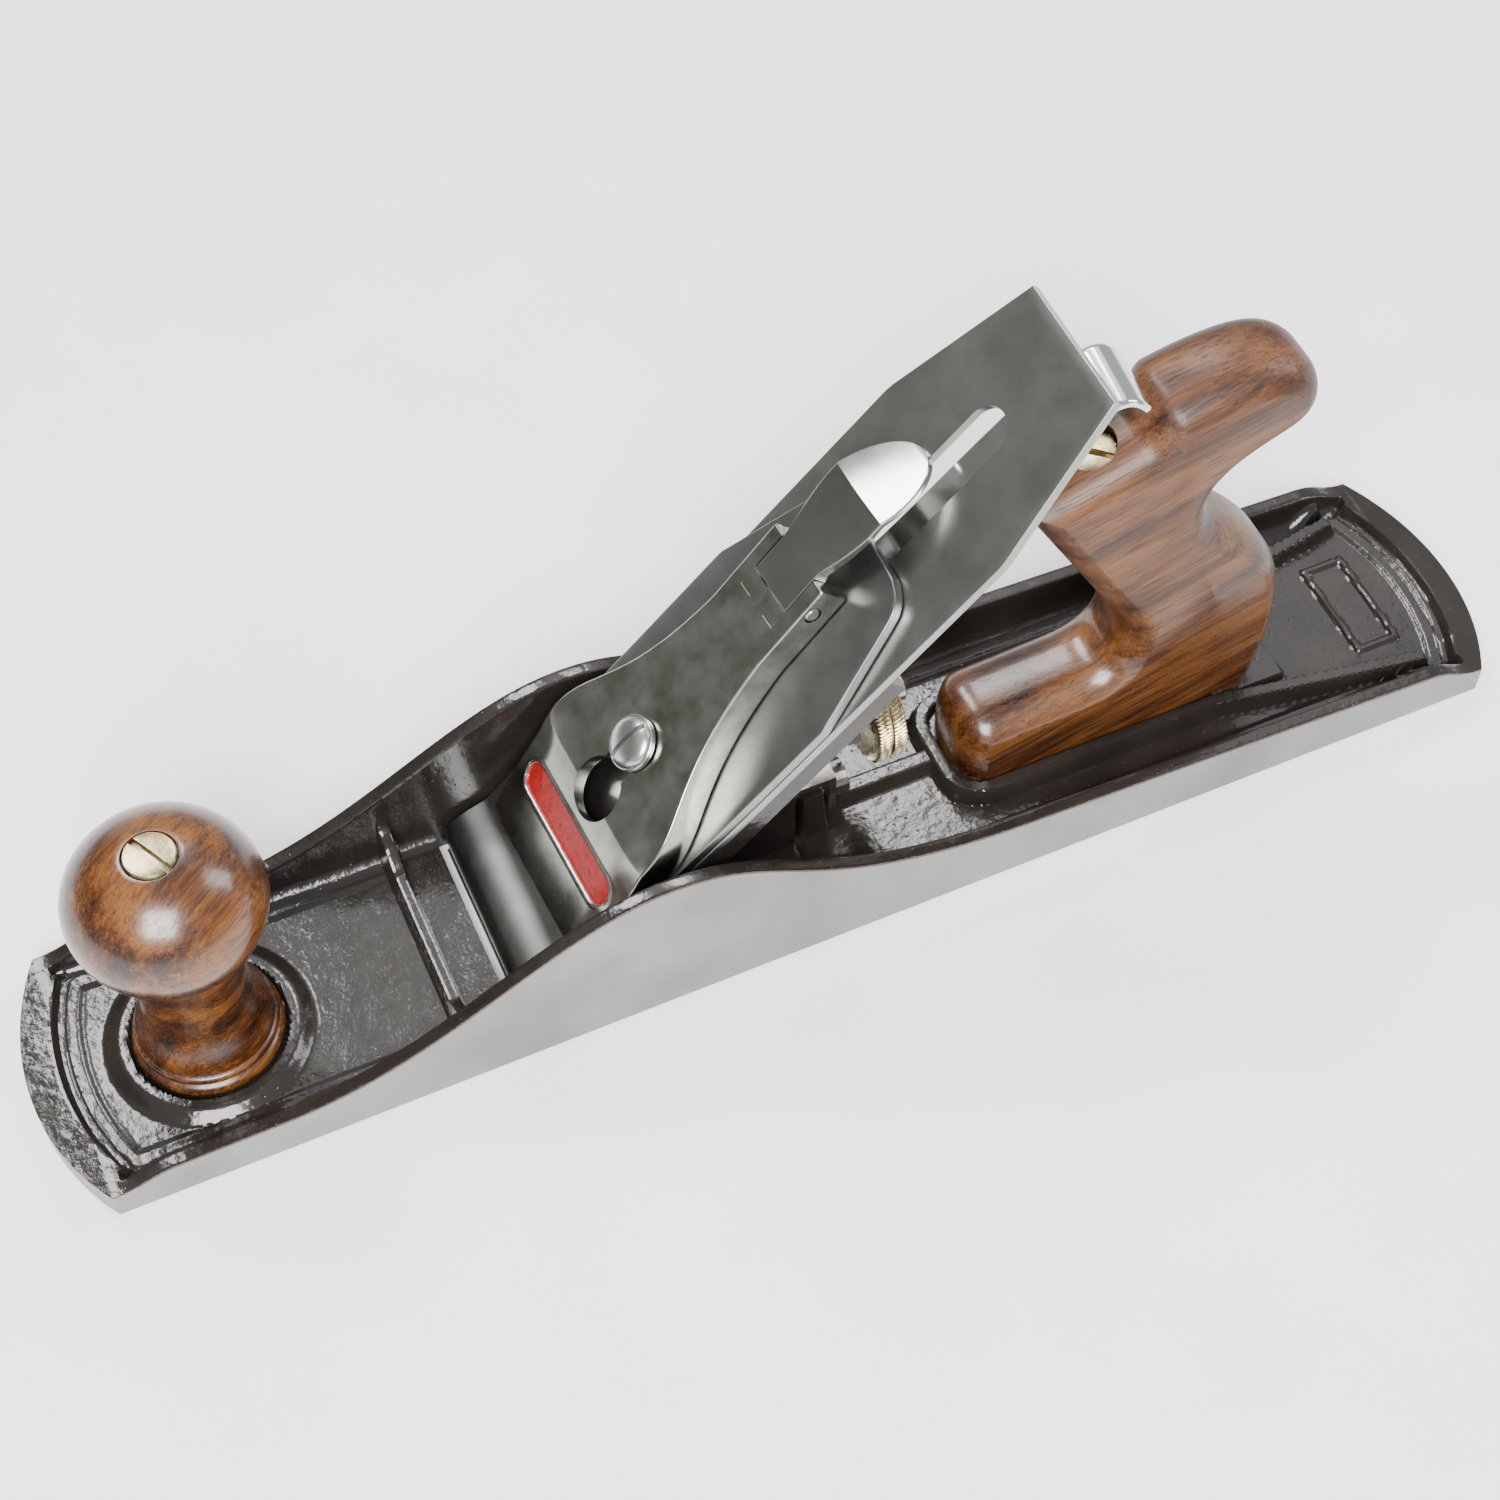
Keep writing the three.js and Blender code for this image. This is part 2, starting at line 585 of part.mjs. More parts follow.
function frogScrew([x, y]) {
  const seat = FLANGE_TOP + GAP + WASHER_THICKNESS + GAP;
  const top = seat + FROG_SCREW_HEAD_HEIGHT;
  const head = bar(FROG_SCREW_HEAD, [x, y, seat], [x, y, top]);
  const shank = bar(FROG_SCREW_SHANK, [x, y, ROD_IN_SOLE], [x, y, seat + EPS]);
  const slot = box(x - 9, x + 9, y - DRIVE_HALF, y + DRIVE_HALF, top - DRIVE_DEPTH, top + OVER);
  return cut(join(head, shank), slot);
}

function frogWasher([x, y]) {
  const low = FLANGE_TOP + GAP;
  const disc = bar(FROG_SCREW_HEAD + 0.4, [x, y, low], [x, y, low + WASHER_THICKNESS]);
  return cut(disc, bar(FROG_SCREW_SHANK + GAP, [x, y, low - OVER], [x, y, low + WASHER_THICKNESS + OVER]));
}

function clipHeights() {
  const bottom = LUG_HEIGHT + 1.5;
  return { bottom, top: bottom + 10.5, screw: bottom + 6.2 };
}

// Where the groove of the adjusting screw starts, behind the lug.
function clipX() {
  return MOUTH + LUG_AT + LUG_LENGTH + CLIP_CLEARANCE;
}

// The bent plate that ties the frog to the groove of its adjusting screw.
function frogAdjustClip() {
  const { bottom, top, screw } = clipHeights();
  const front = FROG_REAR + GAP;
  const leg = clipX();
  const body = join(
    box(front, front + CLIP_THICKNESS, -CLIP_HALF, CLIP_HALF, bottom, top),
    box(front, leg + CLIP_THICKNESS, -CLIP_HALF, CLIP_HALF, bottom, bottom + CLIP_THICKNESS),
    box(leg, leg + CLIP_THICKNESS, -CLIP_HALF, CLIP_HALF, ADJUST_HEIGHT - 4, bottom + EPS),
  );
  const groove = ADJUST_SHANK - ADJUST_GROOVE + GAP;
  return cut(
    body,
    box(leg - OVER, leg + CLIP_THICKNESS + OVER, -groove, groove, ADJUST_HEIGHT - 10, ADJUST_HEIGHT),
    bar(groove, [leg - OVER, 0, ADJUST_HEIGHT], [leg + CLIP_THICKNESS + OVER, 0, ADJUST_HEIGHT]),
    bar(CLIP_SCREW_SHANK + GAP, [front - OVER, 0, screw], [front + CLIP_THICKNESS + OVER, 0, screw]),
  );
}

function frogClipScrew() {
  const { screw } = clipHeights();
  const seat = FROG_REAR + GAP + CLIP_THICKNESS + GAP;
  const end = seat + CLIP_SCREW_HEAD_HEIGHT;
  const head = bar(CLIP_SCREW_HEAD, [seat, 0, screw], [end, 0, screw]);
  const shank = bar(CLIP_SCREW_SHANK, [FROG_REAR - 6, 0, screw], [seat + EPS, 0, screw]);
  const slot = box(end - DRIVE_DEPTH / 2, end + OVER, -DRIVE_HALF, DRIVE_HALF, screw - 5, screw + 5);
  return cut(join(head, shank), slot);
}

function frogAdjustScrew() {
  const groove = clipX() - 2 * GAP;
  const head = groove + CLIP_THICKNESS + 4 * GAP;
  const end = head + ADJUST_HEAD_LENGTH;
  return cut(
    join(
      bar(ADJUST_SHANK, [FROG_REAR + 1, 0, ADJUST_HEIGHT], [groove, 0, ADJUST_HEIGHT]),
      bar(ADJUST_SHANK - ADJUST_GROOVE, [groove - EPS, 0, ADJUST_HEIGHT], [head + EPS, 0, ADJUST_HEIGHT]),
      bar(ADJUST_HEAD, [head, 0, ADJUST_HEIGHT], [end, 0, ADJUST_HEIGHT]),
    ),
    box(end - DRIVE_DEPTH, end + OVER, -DRIVE_HALF, DRIVE_HALF, ADJUST_HEIGHT - 6, ADJUST_HEIGHT + 6),
  );
}

// ---- depth adjuster -----------------------------------------------------------------------

function depthStud() {
  return bar(STUD_RADIUS, [FROG_REAR - STUD_IN_FROG, 0, WHEEL_HEIGHT],
    [WHEEL_X + WHEEL_WIDTH + STUD_PAST_WHEEL, 0, WHEEL_HEIGHT]);
}

// The brass wheel: a grooved hub for the yoke's prongs, and a disc with two knurled bands.
function depthWheel() {
  const disc = (radius, x0, x1, sides = 24) =>
    bar(radius, [x0, 0, WHEEL_HEIGHT], [x1, 0, WHEEL_HEIGHT], sides);
  const waist = WHEEL_X + WHEEL_WIDTH / 2;
  const body = join(
    disc(COLLAR_RADIUS, GROOVE_X - COLLAR_WIDTH, GROOVE_X),
    disc(GROOVE_RADIUS, GROOVE_X - EPS, WHEEL_X + EPS),
    disc(WHEEL_RADIUS, WHEEL_X, waist - 0.4, 32),
    disc(WHEEL_RADIUS - 1, waist - 0.4 - EPS, waist + 0.4 + EPS),
    disc(WHEEL_RADIUS, waist + 0.4, WHEEL_X + WHEEL_WIDTH, 32),
  );
  const [front, back] = [GROOVE_X - COLLAR_WIDTH - OVER, WHEEL_X + WHEEL_WIDTH + OVER];
  return cut(body, disc(STUD_RADIUS + GAP, front, back, 16));
}

// The Y-shaped lever: a nose that reaches through the bed, a hub on the pin, two prongs in the groove.
function yokeLever() {
  const [px, , pz] = onBed(YOKE_AT, 0, -YOKE_DEPTH);
  const nose = join(
    box(YOKE_AT - 2.4, YOKE_AT + 2.4, -3, 3, -YOKE_DEPTH, BED_SURFACE - 1, bedFrame),
    box(YOKE_AT - 1.4, YOKE_AT + 1.4, -2.6, 2.6, -YOKE_DEPTH, CAP_IRON_FACE - 2 * GAP, bedFrame),
  );
  const spread = GROOVE_RADIUS + GAP + PRONG_THICKNESS;
  const hubHalf = CHANNEL_HALF - GAP;
  const hub = bar(YOKE_HUB, [px, -hubHalf, pz], [px, hubHalf, pz]);
  const middle = (GROOVE_X + WHEEL_X) / 2;
  const arm = (y0, y1) => prism(polygon([
    [px, pz - YOKE_HUB * 0.9], [px, pz + YOKE_HUB * 0.5], [middle + PRONG_WIDTH / 2, pz - 1],
    [middle + PRONG_WIDTH / 2, WHEEL_HEIGHT - 3], [middle - PRONG_WIDTH / 2, WHEEL_HEIGHT - 3],
    [middle - PRONG_WIDTH / 2, pz - YOKE_HUB],
  ]), y0, y1);
  return cut(
    join(nose, hub, arm(GROOVE_RADIUS + GAP, spread), arm(-spread, -GROOVE_RADIUS - GAP)),
    bar(YOKE_PIN_RADIUS + GAP, [px, -spread - OVER, pz], [px, spread + OVER, pz]),
  );
}

function yokePin() {
  const [px, , pz] = onBed(YOKE_AT, 0, -YOKE_DEPTH);
  return bar(YOKE_PIN_RADIUS, [px, -FROG_RIB_OUTER, pz], [px, FROG_RIB_OUTER, pz]);
}

// ---- lateral adjuster ---------------------------------------------------------------------

function lateralTop() {
  return BED_SURFACE - GAP;
}

// The lever behind the blade, with a bent thumb tab at its top.
function lateralLever() {
  const top = lateralTop();
  const low = top - LATERAL_THICKNESS;
  const end = LATERAL_AT + LATERAL_LENGTH;
  const arm = new THREE.Shape();
  arm.absarc(LATERAL_AT, 0, LATERAL_EYE, Math.PI / 2, 3 * Math.PI / 2, false);
  arm.lineTo(LATERAL_AT + ROLLER_AHEAD, -LATERAL_EYE);
  arm.lineTo(LATERAL_AT + 22, -LATERAL_HALF);
  arm.lineTo(end - 12, -LATERAL_HALF);
  arm.lineTo(end - 12, LATERAL_HALF);
  arm.lineTo(LATERAL_AT + 22, LATERAL_HALF);
  arm.lineTo(LATERAL_AT + ROLLER_AHEAD, LATERAL_EYE);
  arm.closePath();
  const tab = new THREE.Shape();
  tab.moveTo(end - 13, top);
  tab.lineTo(end - 13, low);
  tab.lineTo(end - 6, low);
  tab.quadraticCurveTo(end - LATERAL_THICKNESS, low, end - LATERAL_THICKNESS, low - 9);
  tab.lineTo(end, low - 9);
  tab.quadraticCurveTo(end, top, end - 6, top);
  tab.closePath();
  return cut(
    join(slab(arm, low, top), prism(tab, -TAB_HALF, TAB_HALF)),
    bar(LATERAL_PIN_RADIUS + GAP, [LATERAL_AT, 0, low - OVER], [LATERAL_AT, 0, top + OVER]),
    bar(ROLLER_PIN_RADIUS + GAP, [LATERAL_AT + ROLLER_AHEAD, 0, low - OVER],
      [LATERAL_AT + ROLLER_AHEAD, 0, top + OVER]),
  );
}

function lateralRoller() {
  const top = lateralTop();
  const x = LATERAL_AT + ROLLER_AHEAD;
  return join(
    bar(ROLLER_RADIUS, [x, 0, top + GAP], [x, 0, -2 * GAP]),
    bar(ROLLER_PIN_RADIUS, [x, 0, top - LATERAL_THICKNESS], [x, 0, top + GAP + EPS]),
  );
}

function lateralPin() {
  const top = lateralTop();
  return join(
    bar(LATERAL_PIN_HEAD, [LATERAL_AT, 0, top + GAP], [LATERAL_AT, 0, top + GAP + 1]),
    bar(LATERAL_PIN_RADIUS, [LATERAL_AT, 0, PLATE_BACK], [LATERAL_AT, 0, top + GAP + EPS]),
  );
}

// ---- irons --------------------------------------------------------------------------------

function ironSlot(x0, x1, radius) {
  return slotTool(x0 + radius, x1 - radius, 0, radius, -20, 20);
}

function blade() {
  const end = BLADE_RETRACTION + BLADE_LENGTH;
  const topHalf = BLADE_HALF * BLADE_TOP_SHARE;
  const plan = polygon([
    [BLADE_RETRACTION, -BLADE_HALF], [end - BLADE_SHOULDER, -BLADE_HALF], [end, -topHalf],
    [end, topHalf], [end - BLADE_SHOULDER, BLADE_HALF], [BLADE_RETRACTION, BLADE_HALF],
  ]);
  const side = polygon([
    [BLADE_RETRACTION, 0], [BLADE_RETRACTION, -0.15], [BLADE_RETRACTION + BEVEL_LENGTH, -BLADE_THICKNESS],
    [end, -BLADE_THICKNESS], [end, 0],
  ]);
  const body = slab(plan, -BLADE_THICKNESS, 0).intersect(prism(side, -BLADE_HALF - 1, BLADE_HALF + 1));
  return cut(body, ironSlot(SLOT_START, SLOT_END, SLOT_WIDTH / 2));
}

// The cap iron lies on the blade, and humps up at its nose to curl the shaving.
function capIron() {
  const plan = new THREE.Shape();
  plan.moveTo(CAP_IRON_START, -BLADE_HALF);
  plan.lineTo(CAP_IRON_SHOULDER, -BLADE_HALF);
  plan.lineTo(CAP_IRON_END - 6, -CAP_IRON_TOP_HALF);
  plan.quadraticCurveTo(CAP_IRON_END, -CAP_IRON_TOP_HALF + 3, CAP_IRON_END, -CAP_IRON_TOP_HALF + 9);
  plan.lineTo(CAP_IRON_END, CAP_IRON_TOP_HALF - 9);
  plan.quadraticCurveTo(CAP_IRON_END, CAP_IRON_TOP_HALF - 3, CAP_IRON_END - 6, CAP_IRON_TOP_HALF);
  plan.lineTo(CAP_IRON_SHOULDER, BLADE_HALF);
  plan.lineTo(CAP_IRON_START, BLADE_HALF);
  plan.closePath();
  const face = CAP_IRON_FACE;
  const start = CAP_IRON_START;
  const side = new THREE.Shape();
  side.moveTo(start, GAP);
  side.quadraticCurveTo(start + HUMP_LENGTH * 0.4, GAP + HUMP_RISE * 1.6, start + HUMP_LENGTH, GAP);
  side.lineTo(CAP_IRON_END, GAP);
  side.lineTo(CAP_IRON_END, face);
  side.lineTo(start + HUMP_LENGTH + 1, face);
  side.bezierCurveTo(start + HUMP_LENGTH * 0.7, face + HUMP_RISE * 1.3, start + HUMP_LENGTH * 0.3,
    face + HUMP_RISE * 1.2, start, GAP + 0.5);
  side.closePath();
  const body = slab(plan, -1, face + HUMP_RISE * 2).intersect(prism(side, -BLADE_HALF - 1, BLADE_HALF + 1));
  return cut(
    body,
    ironSlot(CAP_SCREW_AT - 7, CAP_SCREW_AT + 7, CAP_SCREW_SHANK + 2 * GAP),
    bar(IRON_SCREW_SHANK + GAP, [IRON_SCREW_AT, 0, -OVER], [IRON_SCREW_AT, 0, face + OVER]),
    box(YOKE_AT - 2, YOKE_AT + 2, -3.2, 3.2, -OVER, face + OVER),
  );
}

function capIronScrew() {
  const seat = BED_SURFACE;
  const end = seat - IRON_SCREW_HEAD_HEIGHT;
  const head = bar(IRON_SCREW_HEAD, [IRON_SCREW_AT, 0, end], [IRON_SCREW_AT, 0, seat]);
  const shank = bar(IRON_SCREW_SHANK, [IRON_SCREW_AT, 0, seat - EPS], [IRON_SCREW_AT, 0, CAP_IRON_FACE]);
  return cut(join(head, shank), screwSlot(IRON_SCREW_AT, end - OVER, end + DRIVE_DEPTH));
}

// ---- lever cap ----------------------------------------------------------------------------

function capOutline(inset) {
  const wide = CAP_HALF - inset;
  const neck = CAP_NECK_HALF - inset;
  const nose = CAP_NOSE + inset;
  const top = CAP_TOP - inset;
  const bend = CAP_NOSE_BEND + 2;
  const waist = CAP_TOP - 21;
  const shape = new THREE.Shape();
  shape.moveTo(nose, -wide);
  shape.lineTo(bend, -wide);
  shape.bezierCurveTo(bend + 14, -wide, bend + 16, -neck - 3, waist, -neck);
  shape.lineTo(top, -neck);
  shape.lineTo(top, neck);
  shape.lineTo(waist, neck);
  shape.bezierCurveTo(bend + 16, neck + 3, bend + 14, wide, bend, wide);
  shape.lineTo(nose, wide);
  shape.closePath();
  return shape;
}

function capSide() {
  const low = CAP_IRON_FACE + GAP;
  const shape = new THREE.Shape();
  shape.moveTo(CAP_NOSE, low);
  shape.lineTo(CAP_TOP, low);
  shape.lineTo(CAP_TOP, CAP_HEIGHT + 0.4);
  shape.lineTo(CAP_NOSE_BEND, CAP_HEIGHT - 0.3);
  shape.quadraticCurveTo(CAP_NOSE + 12, CAP_HEIGHT - 1.5, CAP_NOSE, low + 2);
  shape.closePath();
  return shape;
}

function leverCap() {
  const low = CAP_IRON_FACE + GAP;
  const slotHalf = CAP_NECK_HALF - EAR_WIDTH;
  const body = slab(capOutline(0), low - 1, CAP_HEIGHT + OVER)
    .intersect(prism(capSide(), -WIDTH / 2, WIDTH / 2));
  const pocket = slab(capOutline(CAP_WALL), low - OVER, CAP_HEIGHT - CAP_WALL)
    .intersect(box(CAP_NOSE + 14, CAP_TOP - EAR_LENGTH, -WIDTH, WIDTH, low - OVER, CAP_HEIGHT));
  const big = CAP_SCREW_AT - KEYHOLE_DROP;
  return cut(
    body,
    pocket,
    box(CAP_TOP - EAR_LENGTH - EPS, CAP_TOP + OVER, -slotHalf, slotHalf, low - OVER, CAP_HEIGHT + OVER),
    bar(KEYHOLE_RADIUS, [big, 0, 0], [big, 0, CAP_HEIGHT + OVER]),
    slotTool(big, CAP_SCREW_AT + 1, 0, CAP_SCREW_SHANK + 2 * GAP, 0, CAP_HEIGHT + OVER),
    camPinBar(CAM_PIN_RADIUS + GAP, WIDTH / 2),
    bar(RIVET_RADIUS + GAP, [RIVET_AT, 0, 0], [RIVET_AT, 0, CAP_HEIGHT + OVER]),
  );
}

function camPinBar(radius, half) {
  return bar(radius, [CAM_PIN_AT, -half, CAM_PIN_HEIGHT], [CAM_PIN_AT, half, CAM_PIN_HEIGHT]);
}

function leverCapScrew() {
  const seat = CAP_HEIGHT + 0.1 + GAP;
  const top = seat + CAP_SCREW_HEAD_HEIGHT;
  const at = (n) => [CAP_SCREW_AT, 0, n];
  const head = turned([
    [0, seat], [CAP_SCREW_HEAD, seat], [CAP_SCREW_HEAD, seat + 1.2], [CAP_SCREW_HEAD * 0.86, top - 1],
    [CAP_SCREW_HEAD * 0.5, top - 0.2], [0, top],
  ], CAP_SCREW_AT, 0, 24);
  const shank = bar(CAP_SCREW_SHANK, at(PLATE_BACK - 3.5), at(seat + EPS));
  return cut(join(head, shank), screwSlot(CAP_SCREW_AT, top - DRIVE_DEPTH, top + OVER));
}

// The cam lever seen from the side: a round root on the pin and a thumb plate whose end bends down.
function camLever() {
  const pin = CAM_PIN_HEIGHT;
  const ears = CAP_TOP + EAR_CLEARANCE;
  const root = CAP_NECK_HALF - EAR_WIDTH - GAP;
  const crease = CAP_HEIGHT - CAM_CREASE_DROP;
  const reach = CAM_CREASE + CAM_TIP * Math.cos(CAM_BEND);
  const tip = crease - CAM_TIP * Math.sin(CAM_BEND);
  const side = new THREE.Shape();
  side.moveTo(CAM_PIN_AT - 3.4, pin - 1);
  side.lineTo(CAM_PIN_AT - 2.4, pin - 2.6);
  side.lineTo(CAM_PIN_AT + 2.4, pin - 2.6);
  side.lineTo(ears + 1, pin - 0.5);
  side.lineTo(CAM_CREASE - CAM_PLATE * Math.sin(CAM_BEND) / 2, crease - CAM_PLATE);
  side.lineTo(reach - CAM_PLATE * Math.sin(CAM_BEND), tip - CAM_PLATE * Math.cos(CAM_BEND));
  side.lineTo(reach, tip);
  side.lineTo(CAM_CREASE, crease);
  side.lineTo(ears + 1, CAP_HEIGHT);
  side.lineTo(CAM_PIN_AT - 2.6, CAP_HEIGHT);
  side.closePath();
  const plan = new THREE.Shape();
  plan.absellipse(CAM_CREASE, 0, reach - CAM_CREASE, CAM_HALF, -Math.PI / 2, Math.PI / 2, false, 0);
  plan.lineTo(ears, CAM_HALF);
  plan.lineTo(ears, root);
  plan.lineTo(CAM_PIN_AT - 6, root);
  plan.lineTo(CAM_PIN_AT - 6, -root);
  plan.lineTo(ears, -root);
  plan.lineTo(ears, -CAM_HALF);
  plan.closePath();
  return cut(
    prism(side, -CAM_HALF - 1, CAM_HALF + 1).intersect(slab(plan, 0, pin + 20)),
    bar(CAM_PIN_RADIUS + GAP, [CAM_PIN_AT, -WIDTH / 2, pin], [CAM_PIN_AT, WIDTH / 2, pin]),
  );
}

function camPin() {
  return camPinBar(CAM_PIN_RADIUS, CAP_NECK_HALF);
}

function springSeat() {
  return CAP_HEIGHT - CAP_WALL - GAP;
}

// The leaf spring under the cap, held by one rivet, that the cam bears on.
function capSpring() {
  const seat = springSeat();
  const low = CAP_IRON_FACE + 2 * GAP;
  const t = SPRING_THICKNESS;
  const bend = CAP_TOP - 22;
  return cut(
    prism(polygon([
      [RIVET_AT - 4, seat - t], [RIVET_AT + 4, seat - t], [bend, low], [CAM_PIN_AT + 3, low],
      [CAM_PIN_AT + 3, low + t], [bend, low + t], [RIVET_AT + 4, seat], [RIVET_AT - 4, seat],
    ]), -SPRING_HALF, SPRING_HALF),
    bar(RIVET_RADIUS + GAP, [RIVET_AT, 0, 0], [RIVET_AT, 0, CAP_HEIGHT]),
  );
}

function springRivet() {
  const under = springSeat() - SPRING_THICKNESS - GAP;
  return join(
    bar(RIVET_HEAD, [RIVET_AT, 0, under - 0.7], [RIVET_AT, 0, under]),
    bar(RIVET_RADIUS, [RIVET_AT, 0, under - EPS], [RIVET_AT, 0, CAP_HEIGHT - 0.1]),
  );
}

// ---- knob ---------------------------------------------------------------------------------

function knobProfile() {
  const base = FLOOR + GAP;
  const ball = KNOB_TOP + 0.9 - KNOB_BALL_RISE;
  const ballStart = -0.85;
  const ballEnd = 1.28;
  const steps = 12;
  const points = [
    [0, base], [KNOB_BASE_RADIUS - 0.4, base],
    [KNOB_BASE_RADIUS, base + 1], [KNOB_BASE_RADIUS, base + 3.4], [KNOB_BASE_RADIUS - 1, base + 4.2],
    [KNOB_BASE_RADIUS - 0.4, base + 5], [KNOB_BASE_RADIUS - 0.4, base + 7.4],
    [KNOB_BASE_RADIUS - 2.4, base + 10],
    [KNOB_NECK_RADIUS + 0.8, base + 15], [KNOB_NECK_RADIUS, base + 22], [KNOB_NECK_RADIUS + 0.7, base + 30],
  ];
  for (let i = 0; i <= steps; i += 1) {
    const angle = ballStart + (ballEnd - ballStart) * i / steps;
    points.push([KNOB_BALL_RADIUS * Math.cos(angle), ball + KNOB_BALL_RISE * Math.sin(angle)]);
  }
  points.push([0, ball + KNOB_BALL_RISE * Math.sin(ballEnd)]);
  return points;
}

function knob() {
  const seat = KNOB_TOP - NUT_HEAD - GAP;
  return cut(
    turned(knobProfile(), KNOB_X, 0),
    bar(ROD_RADIUS + GAP, [KNOB_X, 0, 0], [KNOB_X, 0, KNOB_TOP + OVER]),
    bar(BARREL_RADIUS + GAP, [KNOB_X, 0, seat - BARREL_LENGTH], [KNOB_X, 0, KNOB_TOP + OVER]),
    bar(NUT_RADIUS + GAP, [KNOB_X, 0, seat + 0.6], [KNOB_X, 0, KNOB_TOP + 2 * OVER]),
  );
}

// A slotted barrel nut along an axis, its head's top at the given point.
function barrelNut(top, up) {
  const along = (d) => top.clone().addScaledVector(up, d).toArray();
  const turn = new THREE.Matrix4().makeRotationFromQuaternion(
    new THREE.Quaternion().setFromUnitVectors(new THREE.Vector3(0, 0, 1), up));
  turn.setPosition(top);
  return cut(
    join(
      bar(NUT_RADIUS, along(-NUT_HEAD), along(0)),
      bar(BARREL_RADIUS, along(-NUT_HEAD - BARREL_LENGTH), along(-NUT_HEAD + EPS)),
    ),
    bar(ROD_RADIUS + GAP, along(-NUT_HEAD - BARREL_LENGTH - OVER), along(-NUT_HEAD)),
    box(-NUT_RADIUS - 1, NUT_RADIUS + 1, -DRIVE_HALF, DRIVE_HALF, -DRIVE_DEPTH, OVER, turn),
  );
}

function knobNut() {
  return barrelNut(new THREE.Vector3(KNOB_X, 0, KNOB_TOP + 0.9), new THREE.Vector3(0, 0, 1));
}

function knobStud() {
  return bar(ROD_RADIUS, [KNOB_X, 0, ROD_IN_SOLE], [KNOB_X, 0, KNOB_TOP - NUT_HEAD - 4]);
}

// ---- tote ---------------------------------------------------------------------------------

// The tote seen from the side, from the front of its foot: foot, heel, grip, horn, top facet.
function toteOutline() {
  const base = TOTE_Z - TOTE_ROUNDING - 1;
  const shape = new THREE.Shape();
  shape.moveTo(TOTE_X, base);
  shape.lineTo(TOTE_X + 76.5, base);
  shape.bezierCurveTo(TOTE_X + 79, TOTE_Z + 6, TOTE_X + 81, 20, TOTE_X + 81, 31);
  shape.bezierCurveTo(TOTE_X + 81, 45, TOTE_X + 76, 53, TOTE_X + 67.5, 62);
  shape.bezierCurveTo(TOTE_X + 60, 69.5, TOTE_X + 55.4, 72, TOTE_X + 55.2, 79);
  shape.bezierCurveTo(TOTE_X + 55.5, 88, TOTE_X + 63, 91, TOTE_X + 71, 94.5);
  shape.bezierCurveTo(TOTE_X + 80.5, 98.5, TOTE_X + 81, 108, TOTE_X + 73, 113.5);
  shape.bezierCurveTo(TOTE_X + 67, 117.5, TOTE_X + 56, 117, TOTE_X + 44, 113.8);
  shape.bezierCurveTo(TOTE_X + 37.5, 112, TOTE_X + 40.5, 106, TOTE_X + 35, 104.2);
  shape.lineTo(TOTE_X + 9.6, 95.4);
  shape.lineTo(TOTE_X + 34, 52.5);
  shape.bezierCurveTo(TOTE_X + 40, 41.5, TOTE_X + 44, 28, TOTE_X + 30, 26.8);
  shape.lineTo(TOTE_X + 8, 25.4);
  shape.bezierCurveTo(TOTE_X + 1, 25, TOTE_X, 20, TOTE_X, 14);
  shape.closePath();
  return shape;
}

function tote() {
  const geometry = new THREE.ExtrudeGeometry(toteOutline(), {
    depth: TOTE_THICKNESS - 2 * TOTE_ROUNDING,
    bevelEnabled: true,
    bevelThickness: TOTE_ROUNDING,
    bevelSize: TOTE_ROUNDING * TOTE_INSET_SHARE,
    bevelOffset: -TOTE_ROUNDING * TOTE_INSET_SHARE,
    bevelSegments: 3,
    curveSegments: 5,
  });
  geometry.rotateX(Math.PI / 2);
  geometry.translate(0, TOTE_THICKNESS / 2 - TOTE_ROUNDING, 0);
  const { at, up } = toteRodAxis();
  const top = new THREE.Vector3(...at(TOTE_NUT_Z));
  const along = (d) => top.clone().addScaledVector(up, d).toArray();
  return cut(
    solid(geometry),
    box(TOTE_X - 20, TOTE_X + 120, -WIDTH, WIDTH, -60, TOTE_Z),
    bar(ROD_RADIUS + GAP, at(0), along(0)),
    bar(BARREL_RADIUS + GAP, along(-NUT_HEAD - BARREL_LENGTH - GAP), along(0)),
    bar(NUT_RADIUS + GAP, along(-NUT_HEAD - GAP), along(20)),
  );
}

function toteNut() {
  const { at, up } = toteRodAxis();
  return barrelNut(new THREE.Vector3(...at(TOTE_NUT_Z)), up);
}

function toteRod() {
  const { at, up } = toteRodAxis();
  const top = new THREE.Vector3(...at(TOTE_NUT_Z)).addScaledVector(up, -NUT_HEAD - 2);
  return bar(ROD_RADIUS, at(ROD_IN_SOLE), top.toArray());
}

// ---- assembly -----------------------------------------------------------------------------

const plane = new THREE.Group();
const [nearSpot, farSpot] = frogScrewSpots();

